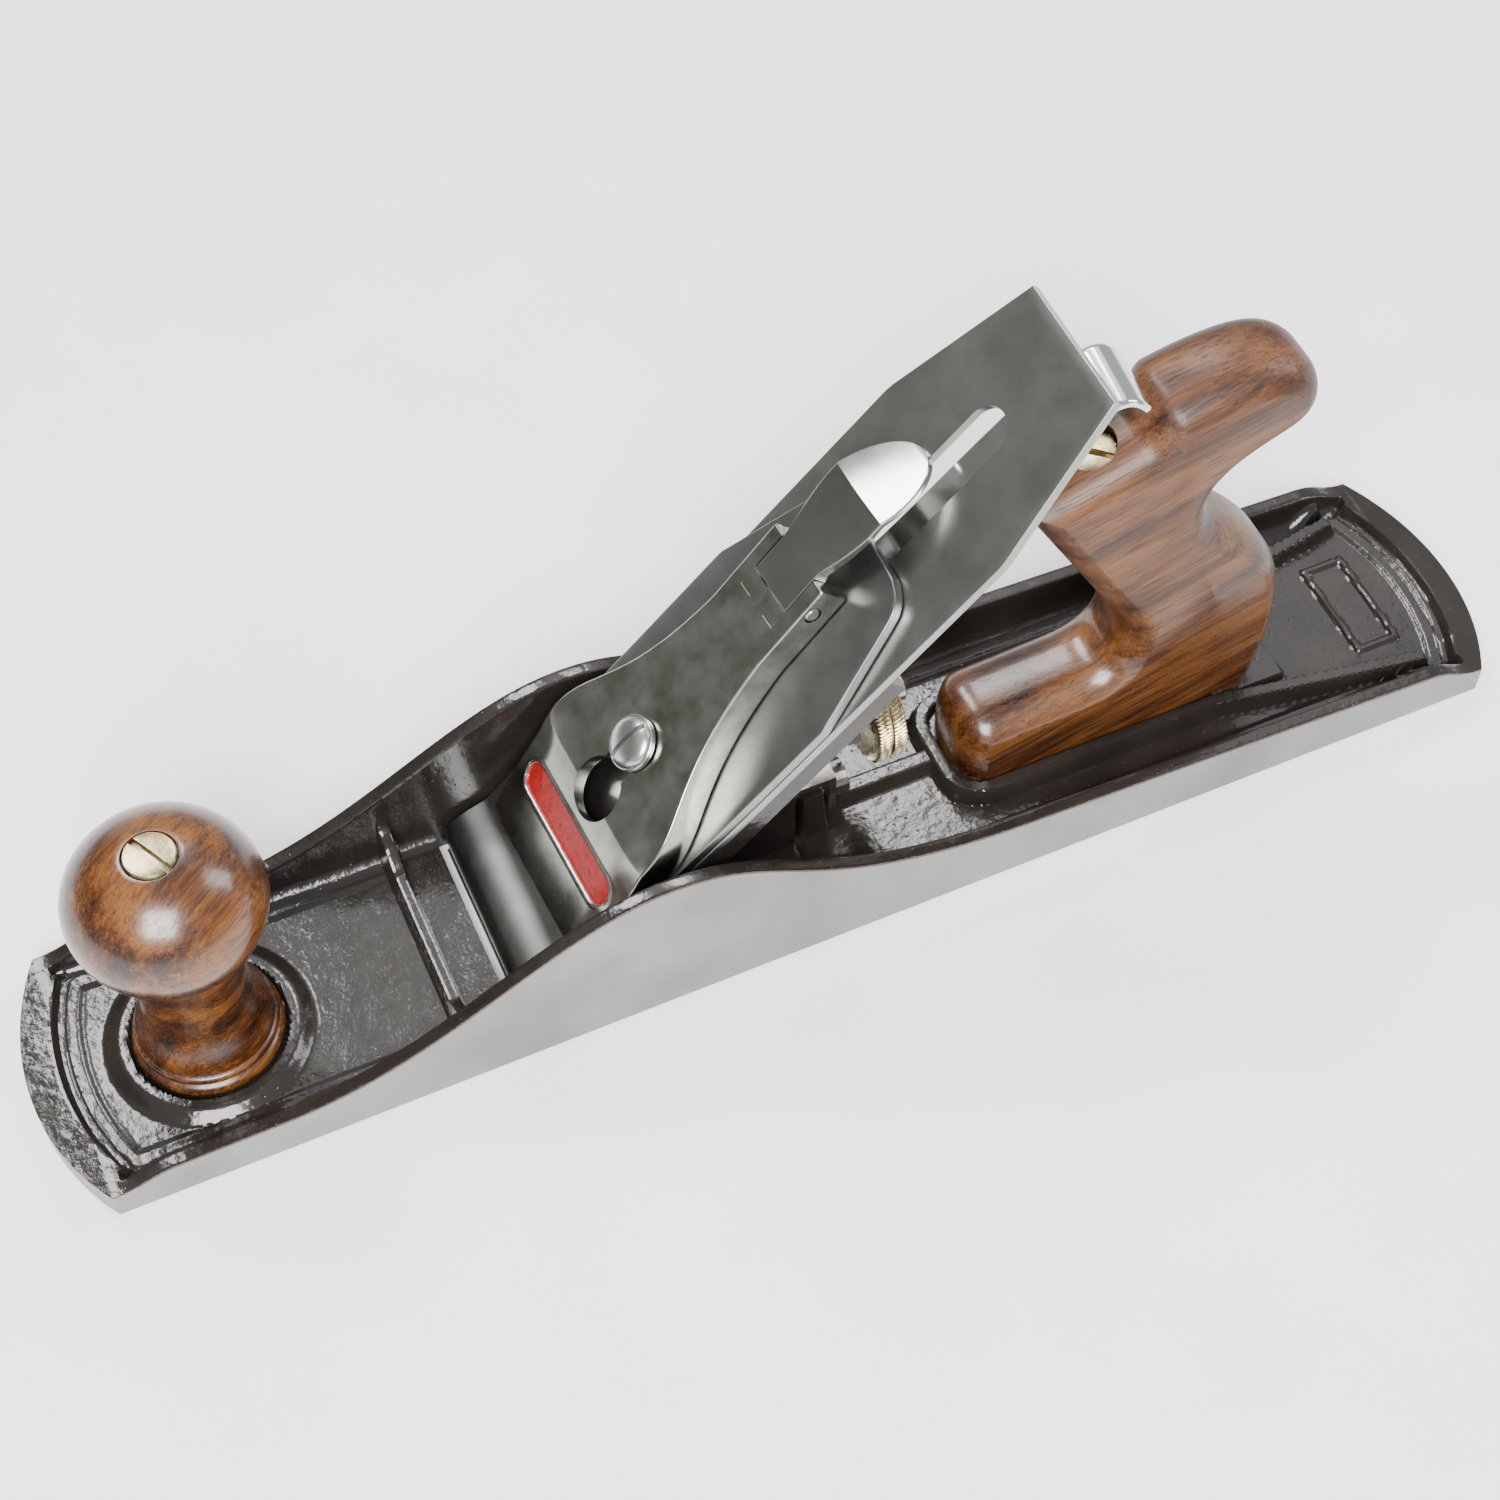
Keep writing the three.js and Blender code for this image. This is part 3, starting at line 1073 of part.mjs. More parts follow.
plane.add(
  piece('sole_casting', soleCasting(), 'japanned'),
  piece('frog', frog(), 'japanned'),
  piece('frog_screw_near', frogScrew(nearSpot), 'steel'),
  piece('frog_screw_far', frogScrew(farSpot), 'steel'),
  piece('frog_washer_near', frogWasher(nearSpot), 'steel'),
  piece('frog_washer_far', frogWasher(farSpot), 'steel'),
  piece('frog_adjust_clip', frogAdjustClip(), 'steel'),
  piece('frog_clip_screw', frogClipScrew(), 'steel'),
  piece('frog_adjust_screw', frogAdjustScrew(), 'steel'),
  piece('depth_stud', depthStud(), 'steel'),
  piece('depth_wheel', depthWheel(), 'brass'),
  piece('yoke_lever', yokeLever(), 'steel'),
  piece('yoke_pin', yokePin(), 'steel'),
  piece('knob', knob(), 'wood'),
  piece('knob_stud', knobStud(), 'steel'),
  piece('knob_nut', knobNut(), 'brass'),
  piece('tote', tote(), 'wood'),
  piece('tote_rod', toteRod(), 'steel'),
  piece('tote_nut', toteNut(), 'brass'),
);

const bed = bedGroup();
bed.add(
  piece('blade', blade(), 'steel'),
  piece('cap_iron', capIron(), 'steel'),
  piece('cap_iron_screw', capIronScrew(), 'steel'),
  piece('lever_cap_screw', leverCapScrew(), 'nickel'),
  piece('lateral_pin', lateralPin(), 'steel'),
);

const lateral = turnedOnBed(LATERAL_AT, LATERAL_SWING);
lateral.inner.add(
  piece('lateral_lever', lateralLever(), 'nickel'),
  piece('lateral_roller', lateralRoller(), 'steel'),
);

const cap = turnedOnBed(CAP_SCREW_AT, CAP_YAW);
cap.inner.add(
  piece('lever_cap', leverCap(), 'nickel'),
  piece('cam_lever', camLever(), 'nickel'),
  piece('cam_pin', camPin(), 'steel'),
  piece('cap_spring', capSpring(), 'steel'),
  piece('spring_rivet', springRivet(), 'steel'),
);

bed.add(lateral.group, cap.group);
plane.add(bed);

export default plane;
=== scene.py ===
"""Hand plane: the looks of a 14 inch bench plane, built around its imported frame.

Shapes are in millimetres in the part's own frame: toe towards -X, heel towards +X, the far side
towards +Y, +Z up. Pieces that lie on the bed are drawn in the bed's frame, (s, y, n): s runs up the
bed from the mouth and n stands out of the blade's face.
"""

import json
import math

import bmesh
import bpy
import numpy as np
from mathutils import Matrix, Vector


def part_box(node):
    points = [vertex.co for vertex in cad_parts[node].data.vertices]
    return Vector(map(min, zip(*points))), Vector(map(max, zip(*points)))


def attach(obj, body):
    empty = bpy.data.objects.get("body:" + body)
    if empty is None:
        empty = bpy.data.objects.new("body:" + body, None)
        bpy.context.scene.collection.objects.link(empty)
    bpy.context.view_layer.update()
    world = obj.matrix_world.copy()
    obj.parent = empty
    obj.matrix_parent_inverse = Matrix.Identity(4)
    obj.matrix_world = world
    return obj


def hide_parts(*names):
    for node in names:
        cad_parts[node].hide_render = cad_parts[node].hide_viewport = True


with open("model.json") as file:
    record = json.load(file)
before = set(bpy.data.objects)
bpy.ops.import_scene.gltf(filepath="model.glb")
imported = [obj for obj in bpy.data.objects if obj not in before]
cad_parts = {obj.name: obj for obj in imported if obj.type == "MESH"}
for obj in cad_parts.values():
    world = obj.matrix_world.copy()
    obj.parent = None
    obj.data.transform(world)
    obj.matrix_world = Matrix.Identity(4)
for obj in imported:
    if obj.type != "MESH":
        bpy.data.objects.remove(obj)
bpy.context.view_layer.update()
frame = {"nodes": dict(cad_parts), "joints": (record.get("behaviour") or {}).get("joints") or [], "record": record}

MM = 0.001
WELD = 1e-6

# ---- places taken from the frame ----------------------------------------------------------------

record = frame["record"]
body_of = {node: body for body, nodes in record["behaviour"]["bodies"].items() for node in nodes}


def joint(name):
    """A joint of the frame, by its name."""
    return next(j for j in frame["joints"] if j["name"] == name)


def box_mm(node):
    """Lowest and highest corner of a CAD node, in millimetres."""
    return [np.array(corner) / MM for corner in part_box(node)]


BED = math.radians(45)
SLOPE = math.sqrt(0.5)  # sine and cosine of the bed's angle
skew_axis = np.array(joint("blade_skew")["pos_m"]) / MM
wheel_axis = np.array(joint("wheel_turn")["pos_m"]) / MM
MOUTH = skew_axis[0] - skew_axis[2]
sole_low, sole_high = box_mm("sole_casting")
LENGTH = sole_high[0] - sole_low[0]
WIDTH = sole_high[1] - sole_low[1]
TOE, HEEL = sole_low[0], sole_high[0]
PEAK_HEIGHT = sole_high[2]

# casting
CHEEK = 3.6
CREST_OUT = 0.35  # radii of the cheeks' top edges, outside and inside
CREST_IN = 0.7
SOLE_CHAMFER = 0.35
FLOOR = 4.5
END_RADIUS = 57.3
BOW_REACH = 70  # how far in from each end the grid follows its arc
RIM = 7
RIM_STEP = 2.6
TOE_RIM = 6.3
HEEL_RIM = 6
END_HEIGHT = 7.7
TOE_WALL = 11.2
HEEL_WALL = 12.6
WALL_RAMP = 16
PEAK_X = MOUTH + 33.5
RISE = 90
FALL = 86
SHOULDER = 17.2
WALL_DRAFT = 0.03  # lean of the cheeks' inner faces
FILLET = 4.5
FIELD_MARGIN = 12.5
FIELD_HALF = 22.6
CROSS_RIB_X = MOUTH - 13
RIB_HALF = 1.1
RIB_HEIGHT = 6
RIB_END_RISE = 5.5
MOUTH_PLAY = 1.2
SEAT = 8
SEAT_HALF = 25
LUG_HALF = 6
LUG_HEIGHT = 13.5
RAIL_TOP = 8.6
RAIL_LINE = 1.2
RAIL_SLOPE = 1.6
SPINE_HALF = 1.7
FOOT_HALF = 11.5
FOOT_CORNER = 5.6
TOTE_SEAT = 6.4
RING_IN = 17.6
RING_OUT = 19.3
LABEL_HALF = 12.9
LABEL_LINE = 0.45

# irons
BLADE_HALF = 26
BLADE_THICK = 2.2
BLADE_START = 0.5
BLADE_END = 191.4
BLADE_SHOULDER = 153.7
BLADE_TOP_HALF = 17.2
BLADE_SLOT_START = 52
BLADE_SLOT_END = 171.4
BEVEL = 5
CAP_IRON_START = 1.9
CAP_IRON_END = 133.3
CAP_IRON_LOW = 0.3
CAP_IRON_FACE = 2.8
CAP_IRON_SHOULDER = 102
CAP_IRON_TOP_HALF = 18.3
HUMP_HEIGHT = 4.1
HUMP_LENGTH = 17
SLOT_HALF = 5.5
NECK_SLOT_HALF = 4.1  # slots for the lever cap screw's shank

# lever cap
CAP_YAW = math.radians(3.6)
CAP_SCREW_AT = 66
CAP_NOSE = 22
CAP_BEND = 50
CAP_TOP = 121.5
CAP_FACE = 11
CAP_LOW = 3.1
CAP_WALL = 3.4
CAP_EDGE = 0.45
CAP_HALF = 24.6
NECK_HALF = 10.6
EAR_WIDTH = 3.6
EAR_LENGTH = 14
KEYHOLE_AT = 52
KEYHOLE_RADIUS = 7.2
SCRIBE = 0.3
SCRIBE_DEPTH = 0.05
PILL_AT = 38.6
PILL_HALF = 3.6
PILL_REACH = 16.6
PIN_RADIUS = 1.6
PIN_HOLE = 1.9
PIN_CHAMFER = 0.3
CAM_PIN_AT = 115.5
CAM_PIN_HEIGHT = 8
CAM_FRONT = 112.2
CAM_CREASE = 140
CAM_TIP = 16
CAM_BEND = math.radians(28)
CAM_HALF = 9.6

# lateral lever
LATERAL_AT = 108
LATERAL_LEVEL = -3.6
LATERAL_THICK = 1.6
LATERAL_EYE = 5.8
LATERAL_SWING = math.radians(-5.2)

# handles
KNOB_X = (box_mm("knob")[0][0] + box_mm("knob")[1][0]) / 2
KNOB_TOP = 77.1
KNOB_RISE = 17.5  # from the ball's middle to the nut's face
KNOB_WAIST = 11.8
KNOB_SLOT_TURN = math.radians(-62)
TOTE_X = box_mm("tote")[0][0]
TOTE_LOW = box_mm("tote")[0][2]
TOTE_HALF = box_mm("tote")[1][1]
TOTE_ROUND = 9
TOTE_INSET = 5.6
TOTE_SLOT_TURN = math.radians(-50)
NUT_TILT = math.radians(71)
NUT_AHEAD = 28.5
NUT_HEIGHT = 99.4
NUT_RADIUS = 5.6
NUT_BARREL = 4
NUT_LENGTH = 22.4
STUD_RADIUS = 3

# ---- frames -------------------------------------------------------------------------------------


def from_bed(points):
    """Bed frame (s, y, n) to the part's frame: s and n are turned 45 degrees about Y at the mouth."""
    s, y, n = np.moveaxis(np.asarray(points, float), -1, 0)
    return np.stack([MOUTH + (s - n) * SLOPE, y, (s + n) * SLOPE], -1)


def swung(points, at, angle):
    """Bed frame points turned by an angle in the bed's plane about the point (at, 0)."""
    s, y, n = np.moveaxis(np.asarray(points, float), -1, 0)
    ahead = s - at
    c, k = math.cos(angle), math.sin(angle)
    return np.stack([at + ahead * c - y * k, ahead * k + y * c, n], -1)


def from_cap(points):
    """Lever cap's frame to the part's frame: yawed about its screw, then laid on the bed."""
    return from_bed(swung(points, CAP_SCREW_AT, CAP_YAW))


def from_lateral(points):
    """Lateral lever's frame to the part's frame: swung about its pin, then laid on the bed."""
    return from_bed(swung(points, LATERAL_AT, LATERAL_SWING))


def smooth_step(x, low, high):
    """0 below low, 1 above high, and a cubic ease between them."""
    t = np.clip((x - low) / (high - low), 0, 1)
    return t * t * (3 - 2 * t)


def rolled(distance, radius):
    """How far a rounded edge has dropped at a distance in from it, along a quarter circle."""
    inset = np.maximum(radius - distance, 0)
    return radius - np.sqrt(np.maximum(radius ** 2 - inset ** 2, 0))


def bezier(points, count):
    """Points on a Bezier curve of any degree, by the Bernstein sum."""
    control = np.asarray(points, float)
    degree = len(control) - 1
    t = np.linspace(0, 1, count)[:, None]
    shares = [math.comb(degree, k) * (1 - t) ** (degree - k) * t ** k for k in range(degree + 1)]
    return sum(share * point for share, point in zip(shares, control))


# ---- meshes -------------------------------------------------------------------------------------


def grid_faces(rows, columns, start=0, closed=False):
    """Four-sided faces between neighbouring rows and columns of points numbered row by row."""
    index = start + np.arange(rows * columns).reshape(rows, columns)
    if closed:
        index = np.column_stack([index, index[:, :1]])
    corners = [index[:-1, :-1], index[:-1, 1:], index[1:, 1:], index[1:, :-1]]
    return np.stack(corners, -1).reshape(-1, 4).tolist()


def border(rows, columns):
    """Numbers of the points round a grid's edge, in order."""
    index = np.arange(rows * columns).reshape(rows, columns)
    return np.concatenate([index[0, :-1], index[:-1, -1], index[-1, :0:-1], index[:0:-1, 0]])


def build(name, points, faces, sharp=32, kinds=None, wear=None):
    """A mesh object from points in millimetres: doubles merged, faces turned out, edges sharp by angle.

    kinds gives each face's material number, and wear a number for each point.
    """
    mesh = bpy.data.meshes.new(name)
    mesh.from_pydata((np.asarray(points, float).reshape(-1, 3) * MM).tolist(), [], faces)
    if kinds is not None:
        mesh.polygons.foreach_set("material_index", kinds)
    if wear is not None:
        mesh.attributes.new("wear", "FLOAT", "POINT").data.foreach_set("value", wear)
    shape = bmesh.new()
    shape.from_mesh(mesh)
    bmesh.ops.remove_doubles(shape, verts=shape.verts, dist=WELD)
    bmesh.ops.recalc_face_normals(shape, faces=shape.faces)
    shape.to_mesh(mesh)
    shape.free()
    thing = bpy.data.objects.new(name, mesh)
    bpy.context.scene.collection.objects.link(thing)
    soften(thing, sharp)
    return thing


def soften(thing, sharp):
    """Smooth shading, apart from edges sharper than the given angle in degrees."""
    thing.data.polygons.foreach_set("use_smooth", [True] * len(thing.data.polygons))
    thing.data.set_sharp_from_angle(angle=math.radians(sharp))


def double_sheet(name, top, bottom, sharp=32):
    """A closed plate: two grids of the same shape, stitched together round their edges."""
    rows, columns = top.shape[:2]
    count = rows * columns
    rim = border(rows, columns)
    ahead = np.roll(rim, -1)
    strip = np.stack([rim, ahead, ahead + count, rim + count], -1).tolist()
    faces = grid_faces(rows, columns) + grid_faces(rows, columns, count) + strip
    return build(name, np.concatenate([top.reshape(-1, 3), bottom.reshape(-1, 3)]), faces, sharp)


def turned(name, profile, place, sides=96, sharp=32, flute=None):
    """A profile of (radius, height) carried round an axis; flute may change the radius with the angle."""
    radius, height = np.asarray(profile, float).T
    angle = np.linspace(0, 2 * math.pi, sides, endpoint=False)[:, None]
    reach = radius + (flute(angle, height) * (radius > 0) if flute else 0)
    points = np.stack(np.broadcast_arrays(reach * np.cos(angle), reach * np.sin(angle), height), -1)
    rows, columns = points.shape[:2]
    faces = (np.array(grid_faces(rows + 1, columns)) % (rows * columns)).tolist()
    return build(name, place(points), faces, sharp)


def along(axis, origin):
    """A placing that stands a turned piece's height along an axis, from an origin."""
    turn = np.array(Vector((0, 0, 1)).rotation_difference(Vector(axis)).to_matrix())
    return lambda points: points.reshape(-1, 3) @ turn.T + np.asarray(origin, float)


def prism(name, outline, low, high, place):
    """An outline in the first and third coordinate, carried along the second from low to high."""
    outline = np.asarray(outline, float)
    count = len(outline)
    sides = [np.insert(outline, 1, y, axis=1) for y in (low, high)]
    ahead = (np.arange(count) + 1) % count
    walls = np.stack([np.arange(count), ahead, ahead + count, np.arange(count) + count], -1).tolist()
    caps = [list(range(count)), list(range(2 * count - 1, count - 1, -1))]
    return build(name, place(np.concatenate(sides)), walls + caps)


def cylinder(name, radius, start, end, sides=96):
    """A plain round tool between two points of the part's frame."""
    run = np.asarray(end, float) - np.asarray(start, float)
    length = float(np.linalg.norm(run))
    profile = [(0, 0), (radius, 0), (radius, length), (0, length)]
    return turned(name, profile, along(run / length, start), sides)


def settle(thing):
    """Applies a piece's modifiers to its mesh."""
    graph = bpy.context.evaluated_depsgraph_get()
    mesh = bpy.data.meshes.new_from_object(thing.evaluated_get(graph))
    thing.modifiers.clear()
    thing.data = mesh


def carve(thing, tools, sharp=32):
    """Cuts closed tools out of a piece, and removes the tools."""
    for tool in tools:
        cut = thing.modifiers.new("cut", "BOOLEAN")
        cut.operation = "DIFFERENCE"
        cut.solver = "MANIFOLD"
        cut.object = tool
    settle(thing)
    for tool in tools:
        bpy.data.objects.remove(tool)
    soften(thing, sharp)
    return thing


def round_edges(thing, width, segments=2, angle=40, sharp=32):
    """A small radius on every edge sharper than an angle."""
    bevel = thing.modifiers.new("edge", "BEVEL")
    bevel.width = width * MM
    bevel.segments = segments
    bevel.limit_method = "ANGLE"
    bevel.angle_limit = math.radians(angle)
    settle(thing)
    soften(thing, sharp)
    return thing


def fit(thing, node, slot, *materials):
    """Puts a finished piece in a CAD node's stead, on the same body."""
    if materials:
        thing.data.materials.clear()
    for material in materials:
        thing.data.materials.append(material)
    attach(thing, body_of[node])
    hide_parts(node)
    return thing


# ---- materials ----------------------------------------------------------------------------------


class Value:
    """A number or colour that changes over a surface. Arithmetic on it adds Math nodes."""

    def __init__(self, finish, socket):
        self.finish = finish
        self.socket = socket

    def math(self, operation, *numbers):
        """A Math node on the given values and numbers."""
        return self.finish.add("ShaderNodeMath", {"operation": operation}, dict(enumerate(numbers)))

    def __add__(self, other):
        return self.math("ADD", self, other)

    def __sub__(self, other):
        return self.math("SUBTRACT", self, other)

    def __mul__(self, other):
        return self.math("MULTIPLY", self, other)

    def __rsub__(self, other):
        return self.math("SUBTRACT", other, self)

    def __pow__(self, other):
        return self.math("POWER", self, other)

    def __abs__(self):
        return self.math("ABSOLUTE", self)

    __radd__ = __add__
    __rmul__ = __mul__

    def ease(self, low, high):
        """0 at low, 1 at high, smooth between; low may be above high."""
        settings = {"interpolation_type": "SMOOTHSTEP"}
        if low < high:
            return self.finish.add("ShaderNodeMapRange", settings, {0: self, 1: low, 2: high})
        return 1 - self.finish.add("ShaderNodeMapRange", settings, {0: self, 1: high, 2: low})


class Finish:
    """One procedural material."""

    def __init__(self, name):
        self.material = bpy.data.materials.new(name)
        self.material.use_nodes = True
        self.tree = self.material.node_tree
        self.shader = self.tree.nodes["Principled BSDF"]

    def add(self, kind, settings=None, inputs=None, output=0):
        """A node of a kind: its settings first, then its sockets' values or links."""
        node = self.tree.nodes.new(kind)
        for key, value in (settings or {}).items():
            if key == "stops":
                for stop in value[2:]:
                    node.color_ramp.elements.new(stop[0])
                for element, (place, colour) in zip(node.color_ramp.elements, value):
                    element.position = place
                    element.color = (*colour, 1)
            else:
                setattr(node, key, value)
        for key, value in (inputs or {}).items():
            self.put(node, key, value)
        return Value(self, node.outputs[output])

    def put(self, node, key, value):
        """Links a value to a node's socket, or sets the socket to a plain number or colour."""
        if isinstance(value, Value):
            self.tree.links.new(value.socket, node.inputs[key])
        elif value is not None:
            node.inputs[key].default_value = value

    def place(self, stretch=None, turn=(0, 0, 0), centre=(0, 0, 0)):
        """Object coordinates in millimetres, moved to a centre, turned, and stretched."""
        at = self.add("ShaderNodeTexCoord", output=3)
        per_mm = self.add("ShaderNodeVectorMath", {"operation": "SCALE"}, {0: at, 3: 1 / MM})
        shifted = self.add("ShaderNodeVectorMath", {"operation": "SUBTRACT"}, {0: per_mm, 1: centre})
        turned_at = self.add("ShaderNodeMapping", {"vector_type": "TEXTURE"}, {0: shifted, 2: turn})
        if stretch is None:
            return turned_at
        return self.add("ShaderNodeVectorMath", {"operation": "MULTIPLY"}, {0: turned_at, 1: stretch})

    def noise(self, at, scale, detail=3, rough=0.5, distortion=0):
        """Fractal noise of 0 to 1, with a scale in features per millimetre."""
        inputs = {0: at, 2: scale, 3: detail, 4: rough, 8: distortion}
        return self.add("ShaderNodeTexNoise", {"noise_dimensions": "3D"}, inputs)

    def cells(self, at, scale):
        """Distance to the nearest of scattered points."""
        return self.add("ShaderNodeTexVoronoi", {"feature": "F1"}, {"Vector": at, "Scale": scale})

    def ramp(self, value, *stops):
        """A colour for each value, between stops of (place, colour)."""
        return self.add("ShaderNodeValToRGB", {"stops": stops}, {0: value})

    def mix(self, factor, first, second):
        """A blend of two colours."""
        colours = [(*c, 1) if isinstance(c, tuple) else c for c in (first, second)]
        inputs = {0: factor, 6: colours[0], 7: colours[1]}
        return self.add("ShaderNodeMix", {"data_type": "RGBA"}, inputs, 2)

    def bump(self, height, depth, after=None):
        """Relief from a height of 0 to 1 that stands for a depth in millimetres, over earlier relief."""
        inputs = {"Strength": 1.0, "Distance": depth * MM, "Height": height, "Normal": after}
        return self.add("ShaderNodeBump", {}, inputs)

    def parts(self, vector):
        """The three coordinates of a vector."""
        split = self.tree.nodes.new("ShaderNodeSeparateXYZ")
        self.put(split, 0, vector)
        return [Value(self, socket) for socket in split.outputs]

    def done(self, **inputs):
        """Fills the shader's sockets by name, and hands over the material."""
        for key, value in inputs.items():
            name = key.replace("_", " ").title().replace("Ior", "IOR")
            value = (*value, 1) if isinstance(value, tuple) and len(value) == 3 else value
            self.put(self.shader, name, value)
        return self.material


def japan():
    """Glossy brown-black enamel over rough cast iron, chipped to a rusty brown along its edges."""
    f = Finish("japan_enamel")
    at = f.place()
    waves = f.noise(at, 0.14, 2)
    orange_peel = f.noise(at, 0.55, 3, 0.55)
    pits = f.cells(at, 0.4).ease(0.16, 0.04)
    edge = f.add("ShaderNodeAttribute", {"attribute_name": "wear"}, output=2)
    chips = (edge + f.noise(at, 1.3, 4, 0.7) * 0.9 - 1.2).ease(0, 0.1)
    paint = f.ramp(f.noise(at, 0.05, 2), (0.3, (0.0090, 0.0072, 0.0062)), (0.7, (0.0180, 0.0145, 0.0122)))
    relief = f.bump(orange_peel, 0.10, f.bump(waves, 0.2, f.bump(1 - pits, 0.06)))
    return f.done(
        base_color=f.mix(chips, paint, (0.07, 0.05, 0.038)),
        roughness=chips * 0.4 + f.noise(at, 0.3, 2) * 0.1 + 0.1,
        metallic=0.0,
        specular_ior_level=0.5,
        normal=relief,
    )


def ground_steel():
    """Cast iron ground bright: fine lines across the length, faint stains."""
    f = Finish("ground_iron")
    lines = f.noise(f.place((2.6, 0.05, 0.22)), 2.2, 5, 0.7)
    stains = f.noise(f.place(), 0.035, 3)
    colour = f.ramp(stains, (0.3, (0.20, 0.20, 0.197)), (0.7, (0.30, 0.30, 0.296)))
    return f.done(
        base_color=colour,
        metallic=0.9,
        roughness=lines * 0.16 + stains * 0.14 + 0.3,
        normal=f.bump(lines, 0.03),
    )


def satin_steel(name, light, dark, across):
    """Rolled steel with fine grinding lines across its length and a cloudy patina."""
    f = Finish(name)
    turn = (0, -BED, 0)
    lines = f.noise(f.place((3.0, 0.05, 1) if across else (0.05, 2.4, 1), turn), 1.6, 4, 0.7)
    clouds = f.noise(f.place(), 0.045, 5, 0.65)
    smudges = f.noise(f.place(), 0.16, 3, 0.6)
    specks = f.cells(f.place(), 0.3).ease(0.07, 0.01)
    colour = f.ramp(clouds * 0.7 + smudges * 0.3, (0.36, dark), (0.66, light))
    return f.done(
        base_color=f.mix(specks * 0.25, colour, (0.14, 0.14, 0.13)),
        metallic=1.0,
        roughness=lines * 0.05 + clouds * 0.08 + smudges * 0.04 + 0.23,
        normal=f.bump(lines, 0.0022),
    )


def nickel(name, tint, rough):
    """Polished nickel plate, hazed and lightly scratched."""
    f = Finish(name)
    haze = f.noise(f.place(), 0.09, 4, 0.6)
    scratches = f.noise(f.place((0.12, 2.5, 1), (0, -BED, 0.5)), 1.4, 3, 0.8)
    return f.done(
        base_color=f.ramp(haze, (0.3, tuple(t * 0.84 for t in tint)), (0.7, tint)),
        metallic=1.0,
        roughness=haze * 0.12 + scratches * 0.04 + rough,
        normal=f.bump(scratches, 0.002, f.bump(f.noise(f.place(), 0.16, 2), 0.02)),
    )


def cap_nickel():
    """The lever cap's plate, with red enamel in the pill-shaped panel across its nose."""
    f = Finish("cap_nickel")
    s, y = cap_coordinates(f)
    past_end = abs(y) - PILL_REACH
    past_end = past_end.math("MAXIMUM", past_end, 0)
    pill = (past_end ** 2 + (s - PILL_AT) ** 2) ** 0.5
    enamel = pill.ease(PILL_HALF, PILL_HALF - 0.25)
    at = f.place()
    haze = f.noise(at, 0.09, 4, 0.6)
    ripple = f.noise(at, 0.5, 3)
    smudges = f.noise(at, 0.22, 4, 0.65, 0.6)
    metal = f.ramp(haze * 0.6 + smudges * 0.4, (0.36, (0.27, 0.265, 0.23)), (0.64, (0.50, 0.50, 0.47)))
    red = f.ramp(ripple, (0.3, (0.16, 0.004, 0.003)), (0.7, (0.24, 0.007, 0.005)))
    return f.done(
        base_color=f.mix(enamel, metal, red),
        metallic=1 - enamel,
        roughness=haze * 0.16 + 0.13 + enamel * 0.06,
        normal=f.bump(ripple * enamel + haze * 0.1, 0.2),
    )


def cap_coordinates(f):
    """The lever cap's own s and y at each point, from Object coordinates."""
    centre = tuple(from_bed([CAP_SCREW_AT, 0, 0]))
    at = f.place(turn=(0, -BED, 0), centre=centre)
    turned_at = f.add("ShaderNodeMapping", {"vector_type": "TEXTURE"}, {0: at, 2: (0, 0, CAP_YAW)})
    x, y, _ = f.parts(turned_at)
    return x + CAP_SCREW_AT, y


def brass():
    """Lacquered yellow brass, dulled in places."""
    f = Finish("turned_brass")
    at = f.place()
    tarnish = f.noise(at, 0.35, 4, 0.6)
    rings = f.noise(f.place((3, 3, 3)), 1.5, 2)
    return f.done(
        base_color=f.ramp(tarnish, (0.3, (0.26, 0.21, 0.12)), (0.7, (0.52, 0.43, 0.25))),
        metallic=1.0,
        roughness=tarnish * 0.2 + 0.16,
        normal=f.bump(rings, 0.02),
    )


def wood(name, dark, mid, light, turn, rough, waxed):
    """Hardwood: bands of growth drawn out along the grain, fine dark pores, and varnish.

    Above the height waxed the varnish has worn to a satin sheen.
    """
    f = Finish(name)
    bands = f.noise(f.place((0.05, 0.30, 0.30), turn), 0.42, 4, 0.55, 0.4)
    fibres = f.noise(f.place((0.05, 1.5, 1.5), turn), 0.8, 5, 0.75)
    pores = f.noise(f.place((0.09, 2.3, 2.3), turn), 1.1, 2, 0.5).ease(0.57, 0.66)
    colour = f.ramp(bands * 0.6 + fibres * 0.4, (0.38, dark), (0.48, mid), (0.60, light))
    satin = f.parts(f.place())[2].ease(waxed - 16, waxed + 16)
    return f.done(
        base_color=f.mix(pores * 0.75, colour, tuple(d * 0.4 for d in dark)),
        metallic=0.0,
        roughness=fibres * 0.14 + pores * 0.12 + rough + satin * 0.16,
        specular_ior_level=0.4,
        coat_weight=0.5 - satin * 0.4,
        coat_roughness=0.17,
        normal=f.bump(fibres - pores, 0.025),
    )


def machined():
    """Bright turned steel for screws and pins."""
    f = Finish("machined_steel")
    at = f.place()
    wear = f.noise(at, 0.4, 4, 0.6)
    return f.done(
        base_color=f.ramp(wear, (0.3, (0.30, 0.30, 0.29)), (0.7, (0.5, 0.5, 0.49))),
        metallic=1.0,
        roughness=wear * 0.22 + 0.2,
        normal=f.bump(f.noise(at, 2.5, 3), 0.02),
    )


def grey_iron():
    """Unpainted cast iron."""
    f = Finish("grey_iron")
    at = f.place()
    skin = f.noise(at, 0.9, 5, 0.65)
    return f.done(
        base_color=f.ramp(skin, (0.3, (0.10, 0.098, 0.095)), (0.7, (0.19, 0.185, 0.18))),
        metallic=0.8,
        roughness=skin * 0.2 + 0.42,
        normal=f.bump(skin, 0.12),
    )


